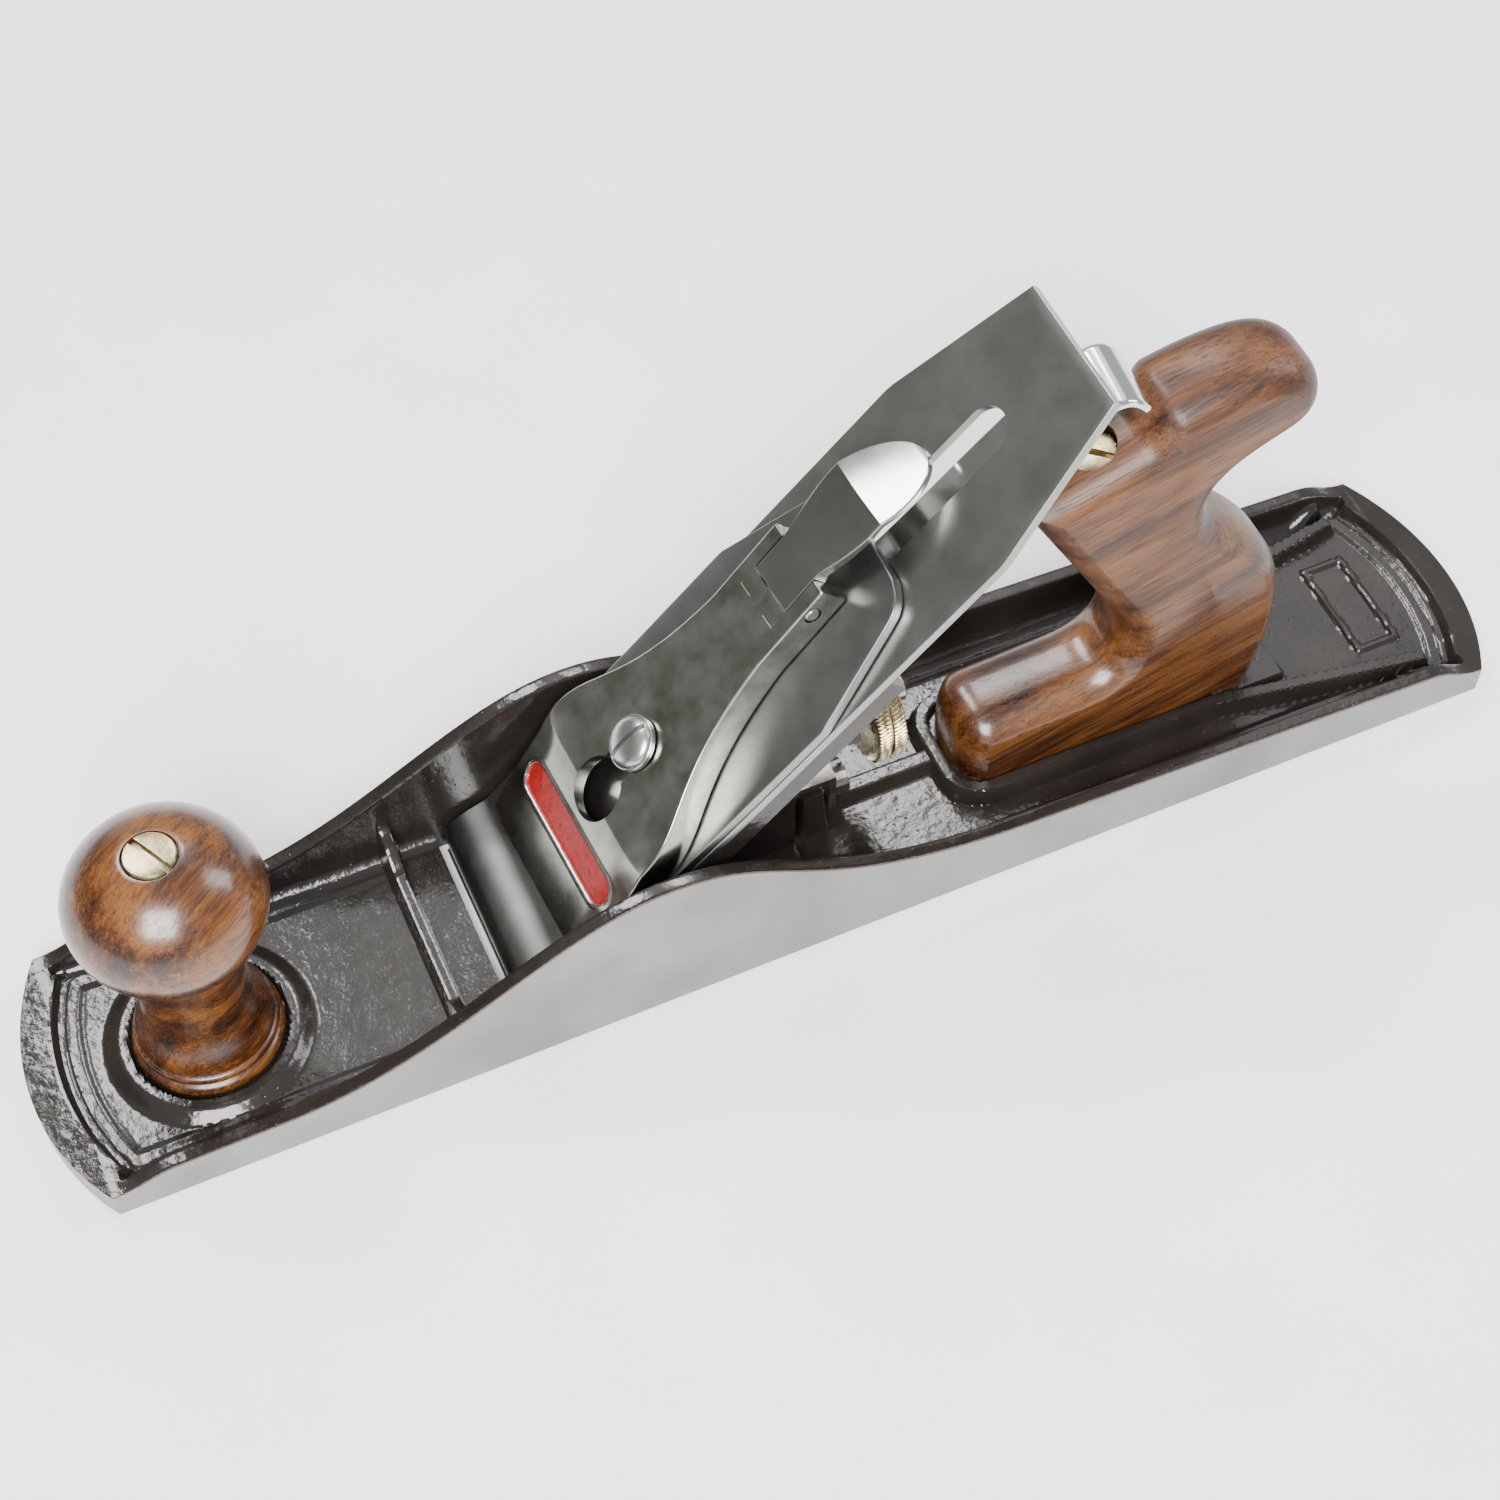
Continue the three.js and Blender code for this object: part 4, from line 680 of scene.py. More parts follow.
# ---- casting ------------------------------------------------------------------------------------


def end_arc(y):
    """How far an end's arc has fallen back from its middle at a distance y from the centre line."""
    return END_RADIUS - np.sqrt(END_RADIUS ** 2 - np.clip(np.abs(y), 0, WIDTH / 2) ** 2)


def cheek_line():
    """The cheeks' top edge seen from the side: end ramps, low walls, and the sweep beside the mouth.

    Straight runs and Bezier curves joined end to end; each row holds one run's control points.
    """
    corner = end_arc(WIDTH / 2)
    toe, heel = TOE + corner, HEEL - corner
    toe_ramp = [toe + WALL_RAMP * share for share in (0.4, 0.5, 1)]
    heel_ramp = [heel - WALL_RAMP * share for share in (1, 0.5, 0.4)]
    foot, shoulder = PEAK_X - RISE, PEAK_X + FALL
    runs = [
        [(TOE, TOE_RIM), (toe, END_HEIGHT)],
        [(toe, END_HEIGHT), (toe_ramp[0], END_HEIGHT), (toe_ramp[1], TOE_WALL), (toe_ramp[2], TOE_WALL)],
        [(toe_ramp[2], TOE_WALL), (foot, TOE_WALL * 1.04)],
        [(foot, TOE_WALL * 1.04), (PEAK_X - RISE * 0.58, TOE_WALL * 1.08),
         (PEAK_X - RISE * 0.31, PEAK_HEIGHT), (PEAK_X, PEAK_HEIGHT)],
        [(PEAK_X, PEAK_HEIGHT), (PEAK_X + FALL * 0.33, PEAK_HEIGHT),
         (PEAK_X + FALL * 0.35, SHOULDER * 1.16), (shoulder, SHOULDER)],
        [(shoulder, SHOULDER), ((heel + shoulder) / 2, HEEL_WALL * 1.17), (heel_ramp[0], HEEL_WALL)],
        [(heel_ramp[0], HEEL_WALL), (heel_ramp[1], HEEL_WALL), (heel_ramp[2], END_HEIGHT),
         (heel, END_HEIGHT)],
        [(heel, END_HEIGHT), (HEEL, HEEL_RIM)],
    ]
    return np.concatenate([bezier(run, 40) for run in runs])


CHEEK_LINE = cheek_line()


def cheek_height(x):
    """Height of the cheeks' top edge at each x, read off its line."""
    return np.interp(x, CHEEK_LINE[:, 0], CHEEK_LINE[:, 1])


def outside_box(x, y, low, high, half, corner=0.0):
    """Distance outside a box in plan from x = low to high and y = -half to half, with round corners."""
    dx = np.abs(x - (low + high) / 2) - (high - low) / 2 + corner
    dy = np.abs(y) - half + corner
    outside = np.hypot(np.maximum(dx, 0), np.maximum(dy, 0))
    return outside + np.minimum(np.maximum(dx, dy), 0) - corner


def outside_rail(x, y, start, end, half):
    """Distance outside a straight rail between two points and its mirror image."""
    run = np.subtract(end, start)
    length = np.hypot(*run)
    px, py = x - start[0], np.abs(y) - start[1]
    ahead = (px * run[0] + py * run[1]) / length
    aside = np.abs(px * run[1] - py * run[0]) / length
    return np.maximum(aside - half, np.maximum(-ahead, ahead - length))


def raised(distance, height, slope):
    """A flat top of a height where distance is below 0, falling away over a slope's width."""
    return height * (1 - smooth_step(distance, 0, slope))


def floor_height(x, y):
    """The casting's inside from above: the highest of its rims, ribs, seats and rails at each point."""
    from_end = np.minimum(x - TOE, HEEL - x) - end_arc(y)
    rim_top = cheek_height(x) - FLOOR
    ring = np.hypot(x - KNOB_X, y)
    outside_foot = outside_box(x, y, TOTE_X, HEEL, FOOT_HALF, FOOT_CORNER)
    outside_field = -np.maximum(FIELD_MARGIN - from_end, np.abs(y) - FIELD_HALF)
    outside_rails = outside_rail(x, y, (TOTE_X + 64, 13.8), (HEEL - 20, 22.5), RAIL_LINE)
    outside_label = np.abs(outside_box(x, y, HEEL - 31.4, HEEL - 21.2, LABEL_HALF)) - LABEL_LINE
    rail = RAIL_TOP - FLOOR
    end_rims = raised(from_end - RIM, rim_top, 2.0)
    rim_steps = raised(from_end - RIM - RIM_STEP, 0.9, 1.4)
    field = raised(outside_field, 0.5, 1.5)
    rib_height = RIB_HEIGHT + RIB_END_RISE * smooth_step(np.abs(y), 17, 26)
    cross_rib = raised(np.abs(x - CROSS_RIB_X) - RIB_HALF, rib_height, 1.3)
    mouth_land = raised(outside_box(x, y, CROSS_RIB_X, MOUTH + 6, WIDTH), 2.0, 1.0)
    frog_seat = raised(outside_box(x, y, MOUTH + 5, MOUTH + 71.5, SEAT_HALF), SEAT - FLOOR, 1.2)
    adjuster_lug = raised(outside_box(x, y, MOUTH + 76, MOUTH + 81, LUG_HALF), LUG_HEIGHT, 1.0)
    spine = raised(outside_box(x, y, MOUTH + 83, TOTE_X - 3, SPINE_HALF), rail - 1, RAIL_SLOPE)
    foot_rim = raised(np.maximum(np.abs(outside_foot - 2.3) - RAIL_LINE, x - TOTE_X - 65), rail, RAIL_SLOPE)
    heel_rails = raised(outside_rails, rail, RAIL_SLOPE)
    tote_seat = raised(outside_box(x, y, TOTE_X - 3, TOTE_X + 84, 12.1), TOTE_SEAT - FLOOR, 1.0)
    knob_ring = raised(np.maximum(ring - RING_OUT, 0) + np.maximum(RING_IN - ring, 0) * 6, 2.2, 4.5)
    label_frame = raised(outside_label, 0.8, 0.7)
    shapes = (end_rims, rim_steps, field, cross_rib, mouth_land, frog_seat, adjuster_lug, spine,
              foot_rim, heel_rails, tote_seat, knob_ring, label_frame)
    return FLOOR + np.maximum.reduce(np.broadcast_arrays(*shapes))


def casting_lines():
    """Lengthwise stations: closer round the tote and the heel, at the mouth's rib and at the toe's rim."""
    runs = [(TOE, TOE + 14, 0.45), (TOE + 14, CROSS_RIB_X - 4, 0.72), (CROSS_RIB_X - 4, MOUTH + 8, 0.4),
            (MOUTH + 8, TOTE_X - 8, 0.8), (TOTE_X - 8, HEEL, 0.47)]
    lines = np.concatenate([np.arange(*run) for run in runs] + [[HEEL]])
    return lines[np.concatenate([[True], np.diff(lines) > 0.12])]


def casting_top():
    """The casting's whole upper surface as one grid, and how much each point is worn.

    Across, each station runs over the near cheek's crest, down its inner wall, round a fillet, over the
    floor, and up the far side in mirror image. Lengthwise, the stations bow with the ends' arcs.
    """
    crest = np.array([0, 0.12, 0.4, 1.1, 2.2, 2.9, 3.3, CHEEK])
    crest_wear = np.array([1.0, 1.0, 0.62, 0.3, 0.25, 0.4, 0.66, 0.5])
    wall = np.linspace(0, 1, 5)[1:]
    turn = np.linspace(0, math.pi / 2, 5)[1:]
    across = np.linspace(-1, 1, 112)[1:-1]
    inner = WIDTH / 2 - CHEEK
    station = casting_lines()[:, None]

    def bowed(y):
        toe = np.clip(1 - (station - TOE) / BOW_REACH, 0, 1)
        heel = np.clip(1 - (HEEL - station) / BOW_REACH, 0, 1)
        return station + end_arc(y) * (toe - heel)

    x_crest = bowed(WIDTH / 2 - crest)
    x_side = bowed(np.full(len(wall) + len(turn), inner))
    top = cheek_height(x_side[:, :1])
    base = floor_height(x_side[:, :1], inner - FILLET)
    drop = np.maximum(top - base, 0.05)
    fillet = np.minimum(FILLET, drop * 0.6)
    foot = inner - WALL_DRAFT * drop
    roll = rolled(crest, CREST_OUT) + rolled(CHEEK - crest, CREST_IN)
    z_crest = cheek_height(x_crest) - roll * np.clip(drop / 3, 0, 1)
    y_crest = np.broadcast_to(WIDTH / 2 - crest, z_crest.shape)
    start = z_crest[:, -1:]
    z_wall = start + (base + fillet - start) * wall
    y_wall = inner + (foot - inner) * wall
    z_turn = base + fillet * (1 - np.sin(turn))
    y_turn = foot - fillet * (1 - np.cos(turn))
    y_side = np.hstack([y_crest, y_wall, y_turn])
    z_side = np.hstack([z_crest, z_wall, z_turn])
    x_side = np.hstack([x_crest, x_side])
    y_floor = across * y_turn[:, -1:]
    x_floor = bowed(y_floor)
    z_floor = floor_height(x_floor, y_floor)
    near = np.stack([x_side, -y_side, z_side], -1)
    far = np.stack([x_side, y_side, z_side], -1)[:, ::-1]
    grid = np.concatenate([near, np.stack([x_floor, y_floor, z_floor], -1), far], 1)
    worn = np.zeros(grid.shape[:2])
    z = grid[..., 2]
    bulge = z[1:-1, 1:-1] * 4 - z[:-2, 1:-1] - z[2:, 1:-1] - z[1:-1, :-2] - z[1:-1, 2:]
    side = len(crest) + len(wall) + len(turn)
    worn[1:-1, side:-side] = np.clip(bulge, 0, 0.35)[:, side - 1:-side + 1]
    worn[:, :len(crest)] = crest_wear
    worn[:, -len(crest):] = crest_wear[::-1]
    return grid, worn


def casting(enamel, iron):
    """The upper surface, a skirt down to the sole with a fine chamfer, and the sole's flat underside."""
    grid, worn = casting_top()
    rows, columns = grid.shape[:2]
    rim = border(rows, columns)
    edge = grid.reshape(-1, 3)[rim]
    centre = edge * (1, 1, 0)
    shrink = centre * (1 - SOLE_CHAMFER / (LENGTH / 2), 1 - SOLE_CHAMFER / (WIDTH / 2), 0)
    skirt = np.stack([centre + (0, 0, SOLE_CHAMFER), shrink])
    count, around = rows * columns, len(rim)
    here = np.arange(around)
    ahead = np.roll(here, -1)
    upper = np.stack([rim, rim[ahead], count + ahead, count + here], -1)
    lower = np.stack([count + here, count + ahead, count + around + ahead, count + around + here], -1)
    faces = grid_faces(rows, columns)
    painted = len(faces)
    faces += upper.tolist() + lower.tolist() + [(count + around + here).tolist()]
    kinds = (np.arange(len(faces)) >= painted).astype(np.int32)
    wear = np.concatenate([worn.ravel(), np.zeros(2 * around)]).astype(np.float32)
    points = np.concatenate([grid.reshape(-1, 3), skirt.reshape(-1, 3)])
    thing = build("casting", points, faces, 28, kinds, wear)
    thing.data.materials.append(enamel)
    thing.data.materials.append(iron)
    return carve(thing, [mouth_tool()], 28)


def mouth_tool():
    """The mouth's opening: upright in front, sloping with the bed behind."""
    behind = (BLADE_THICK + MOUTH_PLAY) / SLOPE
    top = 14
    outline = [(MOUTH - 2, -2), (MOUTH + behind - 2, -2), (MOUTH + behind + top, top), (MOUTH - 2, top)]
    half = WIDTH / 2 - CHEEK - 0.5
    return prism("mouth_tool", outline, -half, half, np.asarray)


# ---- plates on the bed --------------------------------------------------------------------------


def packed(low, high, count, edge, between=None):
    """Even steps from low to high, with three more lines on a quarter circle at each end, and how far
    a rolled edge of that radius has dropped at each line."""
    turn = np.radians([0, 30, 60])
    near = low + edge * (1 - np.cos(turn))
    inner = np.linspace(low + edge, high - edge, count) if between is None else np.asarray(between)
    lines = np.concatenate([near, inner, high + low - near[::-1]])
    return lines, rolled(np.minimum(lines - low, high - lines), edge)


def plate(name, start, end, count, half, across, top, low, edge, place, sharp=32):
    """A plate whose half width, upper face and lower face are functions of the place along it.

    The lines across are packed towards the edges, where both faces roll over by the edge's radius.
    """
    between = None if np.ndim(count) == 0 else count
    stations, end_drop = packed(start, end, count, edge, between)
    share, _ = packed(-1, 1, across, 0.02)
    width = half(stations)[:, None]
    inside = np.clip((share + 1) / 0.02, 0, 1) * np.clip((1 - share) / 0.02, 0, 1)
    turn = np.arccos(np.clip(1 - inside, 0, 1))
    y = np.where(np.abs(share) < 0.98, share / 0.98 * (width - edge),
                 np.sign(share) * (width - edge * inside))
    side_drop = np.broadcast_to(edge * (1 - np.sin(turn)), y.shape)
    drop = np.maximum(side_drop, end_drop[:, None])
    s = np.broadcast_to(stations[:, None], y.shape)
    upper = np.stack([s, y, top(s, y) - drop], -1)
    lower = np.stack([s, y, low(s, y) + drop], -1)
    return double_sheet(name, place(upper), place(lower), sharp)


def level(height):
    """A face at one height, in the form that plate takes."""
    return lambda s, y: np.full(s.shape, float(height))


def blade():
    """A flat iron: its half width narrows past the shoulders, and its lower face rises to a sharp edge."""
    def half(s):
        return np.interp(s, [BLADE_SHOULDER, BLADE_END], [BLADE_HALF, BLADE_TOP_HALF])

    def low(s, y):
        bevel = -BLADE_THICK * smooth_step(s, BLADE_START - 0.2, BLADE_START + BEVEL) - 0.15
        return np.maximum(bevel, -BLADE_THICK)

    thing = plate("blade_iron", BLADE_START, BLADE_END, 90, half, 24, level(0), low, 0.2, from_bed)
    return carve(thing, [slot_tool(BLADE_SLOT_START, BLADE_SLOT_END, SLOT_HALF, from_bed)])


def slot_tool(start, end, half, place, low=-20, high=20):
    """A slot with round ends, as an upright prism in the bed's frame."""
    turn = np.linspace(-math.pi / 2, math.pi / 2, 32)
    right = np.stack([end - half + half * np.cos(turn), half * np.sin(turn)], -1)
    left = np.stack([start + half - half * np.cos(turn), -half * np.sin(turn)], -1)
    outline = np.concatenate([right, left])
    return prism("slot_tool", outline, low, high, lambda points: place(points[:, [0, 2, 1]]))


def cap_iron():
    """The cap iron: flat on the blade, humped at its nose, tapered and rounded at its top.

    The hump is half a sine wave raised to a power, fading away up the iron.
    """
    def half(s):
        taper = np.interp(s, [CAP_IRON_SHOULDER, CAP_IRON_END - 6], [BLADE_HALF, CAP_IRON_TOP_HALF])
        corner = np.clip((s - CAP_IRON_END + 7) / 7, 0, 1)
        return taper - 9 * (1 - np.sqrt(1 - corner ** 2 * 0.999))

    def hump(s):
        wave = np.sin(np.clip((s - CAP_IRON_START) / HUMP_LENGTH, 0, 1) * math.pi) ** 1.3
        return HUMP_HEIGHT * wave * np.exp(-(s - CAP_IRON_START) / 30)

    def top(s, y):
        return CAP_IRON_FACE + hump(s) - 2.0 * np.exp(-(s - CAP_IRON_START) / 1.6)

    def low(s, y):
        return CAP_IRON_LOW + hump(s) * 0.8

    thing = plate("cap_iron_plate", CAP_IRON_START, CAP_IRON_END, 150, half, 24, top, low, 0.3, from_bed)
    screw_slot = slot_tool(CAP_SCREW_AT - 7, CAP_SCREW_AT + 7, NECK_SLOT_HALF, from_bed)
    yoke_slot = slot_tool(96, 100, 1.99, from_bed)
    return carve(thing, [screw_slot, yoke_slot])


# ---- lever cap ----------------------------------------------------------------------------------


def cap_side_line():
    """Half width of the lever cap along it: full nose, a sweep in to the neck, parallel ears."""
    sweep = bezier([(CAP_BEND + 2, CAP_HALF), (CAP_BEND + 16, CAP_HALF), (CAP_BEND + 18, NECK_HALF + 3),
                    (CAP_TOP - 21, NECK_HALF)], 60)
    return np.concatenate([[(CAP_NOSE, CAP_HALF)], sweep, [(CAP_TOP + 1, NECK_HALF)]])


CAP_SIDE = cap_side_line()


def cap_half(s):
    """Half width of the lever cap at each s, read off its side line."""
    return np.interp(s, CAP_SIDE[:, 0], CAP_SIDE[:, 1])


def cap_face(s, y):
    """The lever cap's face: flat behind the bend, a convex slope down to the nose, a sunk pill panel."""
    slope = bezier([(CAP_NOSE, CAP_LOW + 2), (CAP_NOSE + 10, CAP_FACE - 2.2), (CAP_BEND, CAP_FACE)], 60)
    height = np.interp(s, slope[:, 0], slope[:, 1])
    lean = smooth_step(np.abs(y), CAP_HALF - 9, CAP_HALF + 3) * 1.4
    flank = lean * (1 - smooth_step(s, CAP_BEND - 6, CAP_BEND + 4))
    pill = np.hypot(s - PILL_AT, np.maximum(np.abs(y) - PILL_REACH, 0))
    panel = 0.7 * (1 - smooth_step(pill, PILL_HALF - 0.5, PILL_HALF))
    rim = 0.28 * np.exp(-((pill - PILL_HALF - 0.45) / 0.35) ** 2)
    return height - flank - panel + rim


def lever_cap():
    """A hollow plate over the cap iron: keyhole, ears for the cam's pin, a pocket beneath."""
    nose_lines = np.arange(CAP_NOSE + CAP_EDGE, CAP_BEND, 0.24)
    lines = np.concatenate([nose_lines, np.arange(CAP_BEND, CAP_TOP - CAP_EDGE, 0.6)])
    thing = plate("cap_plate", CAP_NOSE, CAP_TOP, lines, cap_half, 124, cap_face, level(CAP_LOW), CAP_EDGE,
                  from_cap, 36)
    pocket = plate("pocket_tool", CAP_NOSE + 14, CAM_FRONT - 2, 60, lambda s: cap_half(s) - CAP_WALL, 6,
                   level(CAP_FACE - CAP_WALL), level(CAP_LOW - 2), 0.05, from_cap)
    ears = NECK_HALF - EAR_WIDTH
    top = CAP_TOP - EAR_LENGTH
    front = CAM_FRONT - 0.3
    above = 20
    outline = [(front - 1.4, 0), (CAP_TOP + 3, 0), (CAP_TOP + 3, above), (front, above),
               (front, CAP_FACE), (front - 1.4, 8.6)]
    slot = prism("ear_tool", outline, -ears, ears, from_cap)
    keyhole = cylinder("keyhole_tool", KEYHOLE_RADIUS, *(from_cap([KEYHOLE_AT, 0, n]) for n in (0, above)))
    neck = slot_tool(KEYHOLE_AT - 4, CAP_SCREW_AT + 5, NECK_SLOT_HALF, from_cap, 0, above)
    pin_hole = cylinder("pin_tool", PIN_HOLE, *cam_pin_ends(30), 32)
    low = CAP_FACE - SCRIBE_DEPTH
    scribed = ((top, front + 0.1, ears - SCRIBE, ears), (top, top + SCRIBE, ears - 4, ears),
               (top, front + 0.1, -ears, -ears + SCRIBE), (top, top + SCRIBE, -ears, -ears + 4))
    scribes = [
        prism("scribe_tool", [(s0, low), (s1, low), (s1, above), (s0, above)], y0, y1, from_cap)
        for s0, s1, y0, y1 in scribed
    ]
    return carve(thing, [pocket, slot, keyhole, neck, pin_hole, *scribes], 36)


def cam_lever():
    """The cam lever: a root flush with the cap between its ears, and a thumb plate whose end bends down.

    Both faces are read off side lines in (s, n), and the half width off a line that flares past the ears.
    """
    root = NECK_HALF - EAR_WIDTH - 0.25
    flare = bezier([(CAP_TOP + 0.9, root), (CAP_TOP + 3.5, root + 0.4), (CAP_TOP + 8, CAM_HALF - 0.6),
                    (CAP_TOP + 15, CAM_HALF)], 30)
    crease = CAP_FACE - 0.6
    end = CAM_CREASE + CAM_TIP * math.cos(CAM_BEND)
    tip = crease - CAM_TIP * math.sin(CAM_BEND)
    proud = CAP_FACE + 0.1
    face = [(CAM_FRONT, proud), (CAP_TOP + 1, proud), (CAM_CREASE, crease), (end, tip)]
    back = [(CAM_FRONT, 9.7), (CAM_FRONT + 0.2, 9.2), (CAM_FRONT + 0.4, 7), (113.4, 5.5), (117.9, 5.4),
            (123.7, 8.2), (CAM_CREASE - 0.35, crease - 1.5), (end, tip - 1.6)]

    def half(s):
        ahead = np.clip((s - CAM_CREASE) / (end - CAM_CREASE), 0, 1)
        return np.interp(s, flare[:, 0], flare[:, 1]) * np.sqrt(np.maximum(1 - ahead ** 2.1, 0.0004))

    def crown(s, y):
        return 0.5 * (y / CAM_HALF) ** 2 * smooth_step(s, CAP_TOP + 1, CAP_TOP + 8)

    def top(s, y):
        return np.interp(s, *np.transpose(face)) - crown(s, y)

    def low(s, y):
        return np.interp(s, *np.transpose(back)) - crown(s, y) * 0.8

    lines = np.union1d(np.arange(CAM_FRONT + 0.36, end - 0.35, 0.36), [CAM_CREASE])
    thing = plate("cam_thumb", CAM_FRONT, end, lines, half, 60, top, low, 0.3, from_cap, 12)
    return carve(thing, [cylinder("pin_tool", PIN_HOLE, *cam_pin_ends(30), 32)], 12)


def cam_pin_ends(reach):
    """Two points on the cam pin's axis, one a reach to each side of the middle."""
    return [from_cap([CAM_PIN_AT, y, CAM_PIN_HEIGHT]) for y in (-reach, reach)]


def lateral_lever():
    """The lateral lever: a flat strip behind the blade that ends in a rolled thumb tab.

    A side line in (s, n) is thickened along its normals, and its half width runs from a round eye to the tab.
    """
    n = LATERAL_LEVEL
    strip = [(LATERAL_AT - LATERAL_EYE, n), (LATERAL_AT + 66, n)]
    tab = bezier([(LATERAL_AT + 74, n), (LATERAL_AT + 84, n + 0.2), (LATERAL_AT + 86, n - 2.4),
                  (LATERAL_AT + 85.2, n - 8.7)], 24)
    path = np.concatenate([strip, tab])
    run = np.concatenate([[0], np.cumsum(np.hypot(*np.diff(path, axis=0).T))])
    steps = np.linspace(0, run[-1], 150)
    s, n = np.interp(steps, run, path[:, 0]), np.interp(steps, run, path[:, 1])
    tangent = np.stack([np.gradient(s), np.gradient(n)])
    tangent /= np.hypot(*tangent)
    eye = np.sqrt(np.maximum(1 - np.clip(1 - steps / LATERAL_EYE, 0, 1) ** 2, 0.01)) * LATERAL_EYE
    waist = 4.6 + 1.2 * (1 - smooth_step(steps, 10, 26))
    half = np.where(steps < LATERAL_EYE, eye, waist + 3.4 * smooth_step(steps, 18, run[-1] - 18))
    share, _ = packed(-1, 1, 20, 0.06)
    y = half[:, None] * share
    faces = []
    for side in (LATERAL_THICK / 2, -LATERAL_THICK / 2):
        up = side - 0.3 * np.sign(side) * smooth_step(np.abs(share), 0.94, 1)
        faces.append(np.stack([s[:, None] - tangent[1][:, None] * up, y,
                               n[:, None] + tangent[0][:, None] * up], -1))
    thing = double_sheet("lateral_strip", from_lateral(faces[0]), from_lateral(faces[1]))
    holes = []
    for at, radius in ((LATERAL_AT, 2.3), (LATERAL_AT + 9, PIN_HOLE)):
        ends = [from_lateral([at, 0, n]) for n in (-20, 20)]
        holes.append(cylinder("eye_tool", radius, *ends, 48))
    return carve(thing, holes)


# ---- turned pieces ------------------------------------------------------------------------------


def knob():
    """The knob: two beads on a foot, a waisted neck, and a flattened ball, as one turned profile."""
    low, high = box_mm("knob")
    base, ball_radius = low[2], (high[0] - low[0]) / 2
    centre = KNOB_TOP - KNOB_RISE

    def bead(middle, radius, reach):
        turn = np.linspace(-1.35, 1.35, 12)
        return zip(reach + radius * np.cos(turn), middle + radius * np.sin(turn))

    waist = KNOB_WAIST
    foot_curve = [(15.2, base + 7.4), (14.6, base + 12), (waist, base + 14), (waist, base + 21)]
    neck_curve = [(waist, base + 21.5), (waist, base + 27), (12.4, base + 31), (13.9, centre - 13.2)]
    profile = [(0, base), (15.6, base), *bead(base + 2.2, 1.9, 14.8), *bead(base + 5.6, 1.3, 14.7),
               *bezier(foot_curve, 24), *bezier(neck_curve, 20)]
    turn = np.linspace(-0.84, 1.27, 60)
    profile += list(zip(ball_radius * np.cos(turn), centre + KNOB_RISE * np.sin(turn)))
    profile.append((0, profile[-1][1]))
    thing = turned("knob_turning", profile, along((0, 0, 1), (KNOB_X, 0, 0)), 128)
    hole = cylinder("nut_tool", NUT_RADIUS + 0.3, (KNOB_X, 0, KNOB_TOP - 3.1), (KNOB_X, 0, KNOB_TOP + 12.9))
    return carve(thing, [hole])


def slotted_nut(name, node, top, axis, slot_turn, finish):
    """A round brass nut: a low dome with fine turned rings, a deep slot at an angle, and a barrel below."""
    dome = []
    for count, ring in enumerate(np.linspace(5.2, 0.4, 24)):
        rise = 0.5 * math.sqrt(1 - (ring / NUT_RADIUS) ** 2) - 0.5
        dome.append((ring, rise - 0.05 * (count % 2)))
    barrel = [(0, -NUT_LENGTH), (NUT_BARREL, -NUT_LENGTH), (NUT_BARREL, -2.4)]
    head = [(NUT_RADIUS - 0.1, -2.4), (NUT_RADIUS, -2.2), (NUT_RADIUS, -0.9)]
    place = along(axis, top)
    thing = turned(name, [*barrel, *head, *dome[:-1], (0, 0)], place, 96)
    c, k = math.cos(slot_turn), math.sin(slot_turn)
    spun = np.array([[c, k, 0], [-k, c, 0], [0, 0, 1]])
    slot = [(-9, -1.7), (9, -1.7), (9, 4), (-9, 4)]
    tool = prism("slot_tool", slot, -0.75, 0.75, lambda points: place(points @ spun))
    thing = carve(thing, [tool])
    return fit(round_edges(thing, 0.12), node, "brass", finish)


def cap_screw():
    """The lever cap's screw: a polished dome with a stepped edge and a slot."""
    base = CAP_FACE + 0.4
    top = base + 3.4
    dome = bezier([(5.7, base + 1.5), (5.2, base + 3.0), (2.4, top), (0, top)], 24)
    profile = [(0, -12), (3.5, -12), (3.5, base), (6.1, base), (6.2, base + 0.15), (6.2, base + 1.1),
               (6.0, base + 1.3), (5.7, base + 1.35), *dome]
    origin = from_bed([CAP_SCREW_AT, 0, 0])
    place = along(from_bed([CAP_SCREW_AT, 0, 1]) - origin, origin)
    thing = turned("cap_screw_dome", profile, place, 96)
    slot = [(-9, top - 1.5), (9, top - 1.5), (9, top + 4), (-9, top + 4)]
    tool = prism("slot_tool", slot, -0.6, 0.6, lambda points: from_bed(points + (CAP_SCREW_AT, 0, 0)))
    return round_edges(carve(thing, [tool]), 0.1)


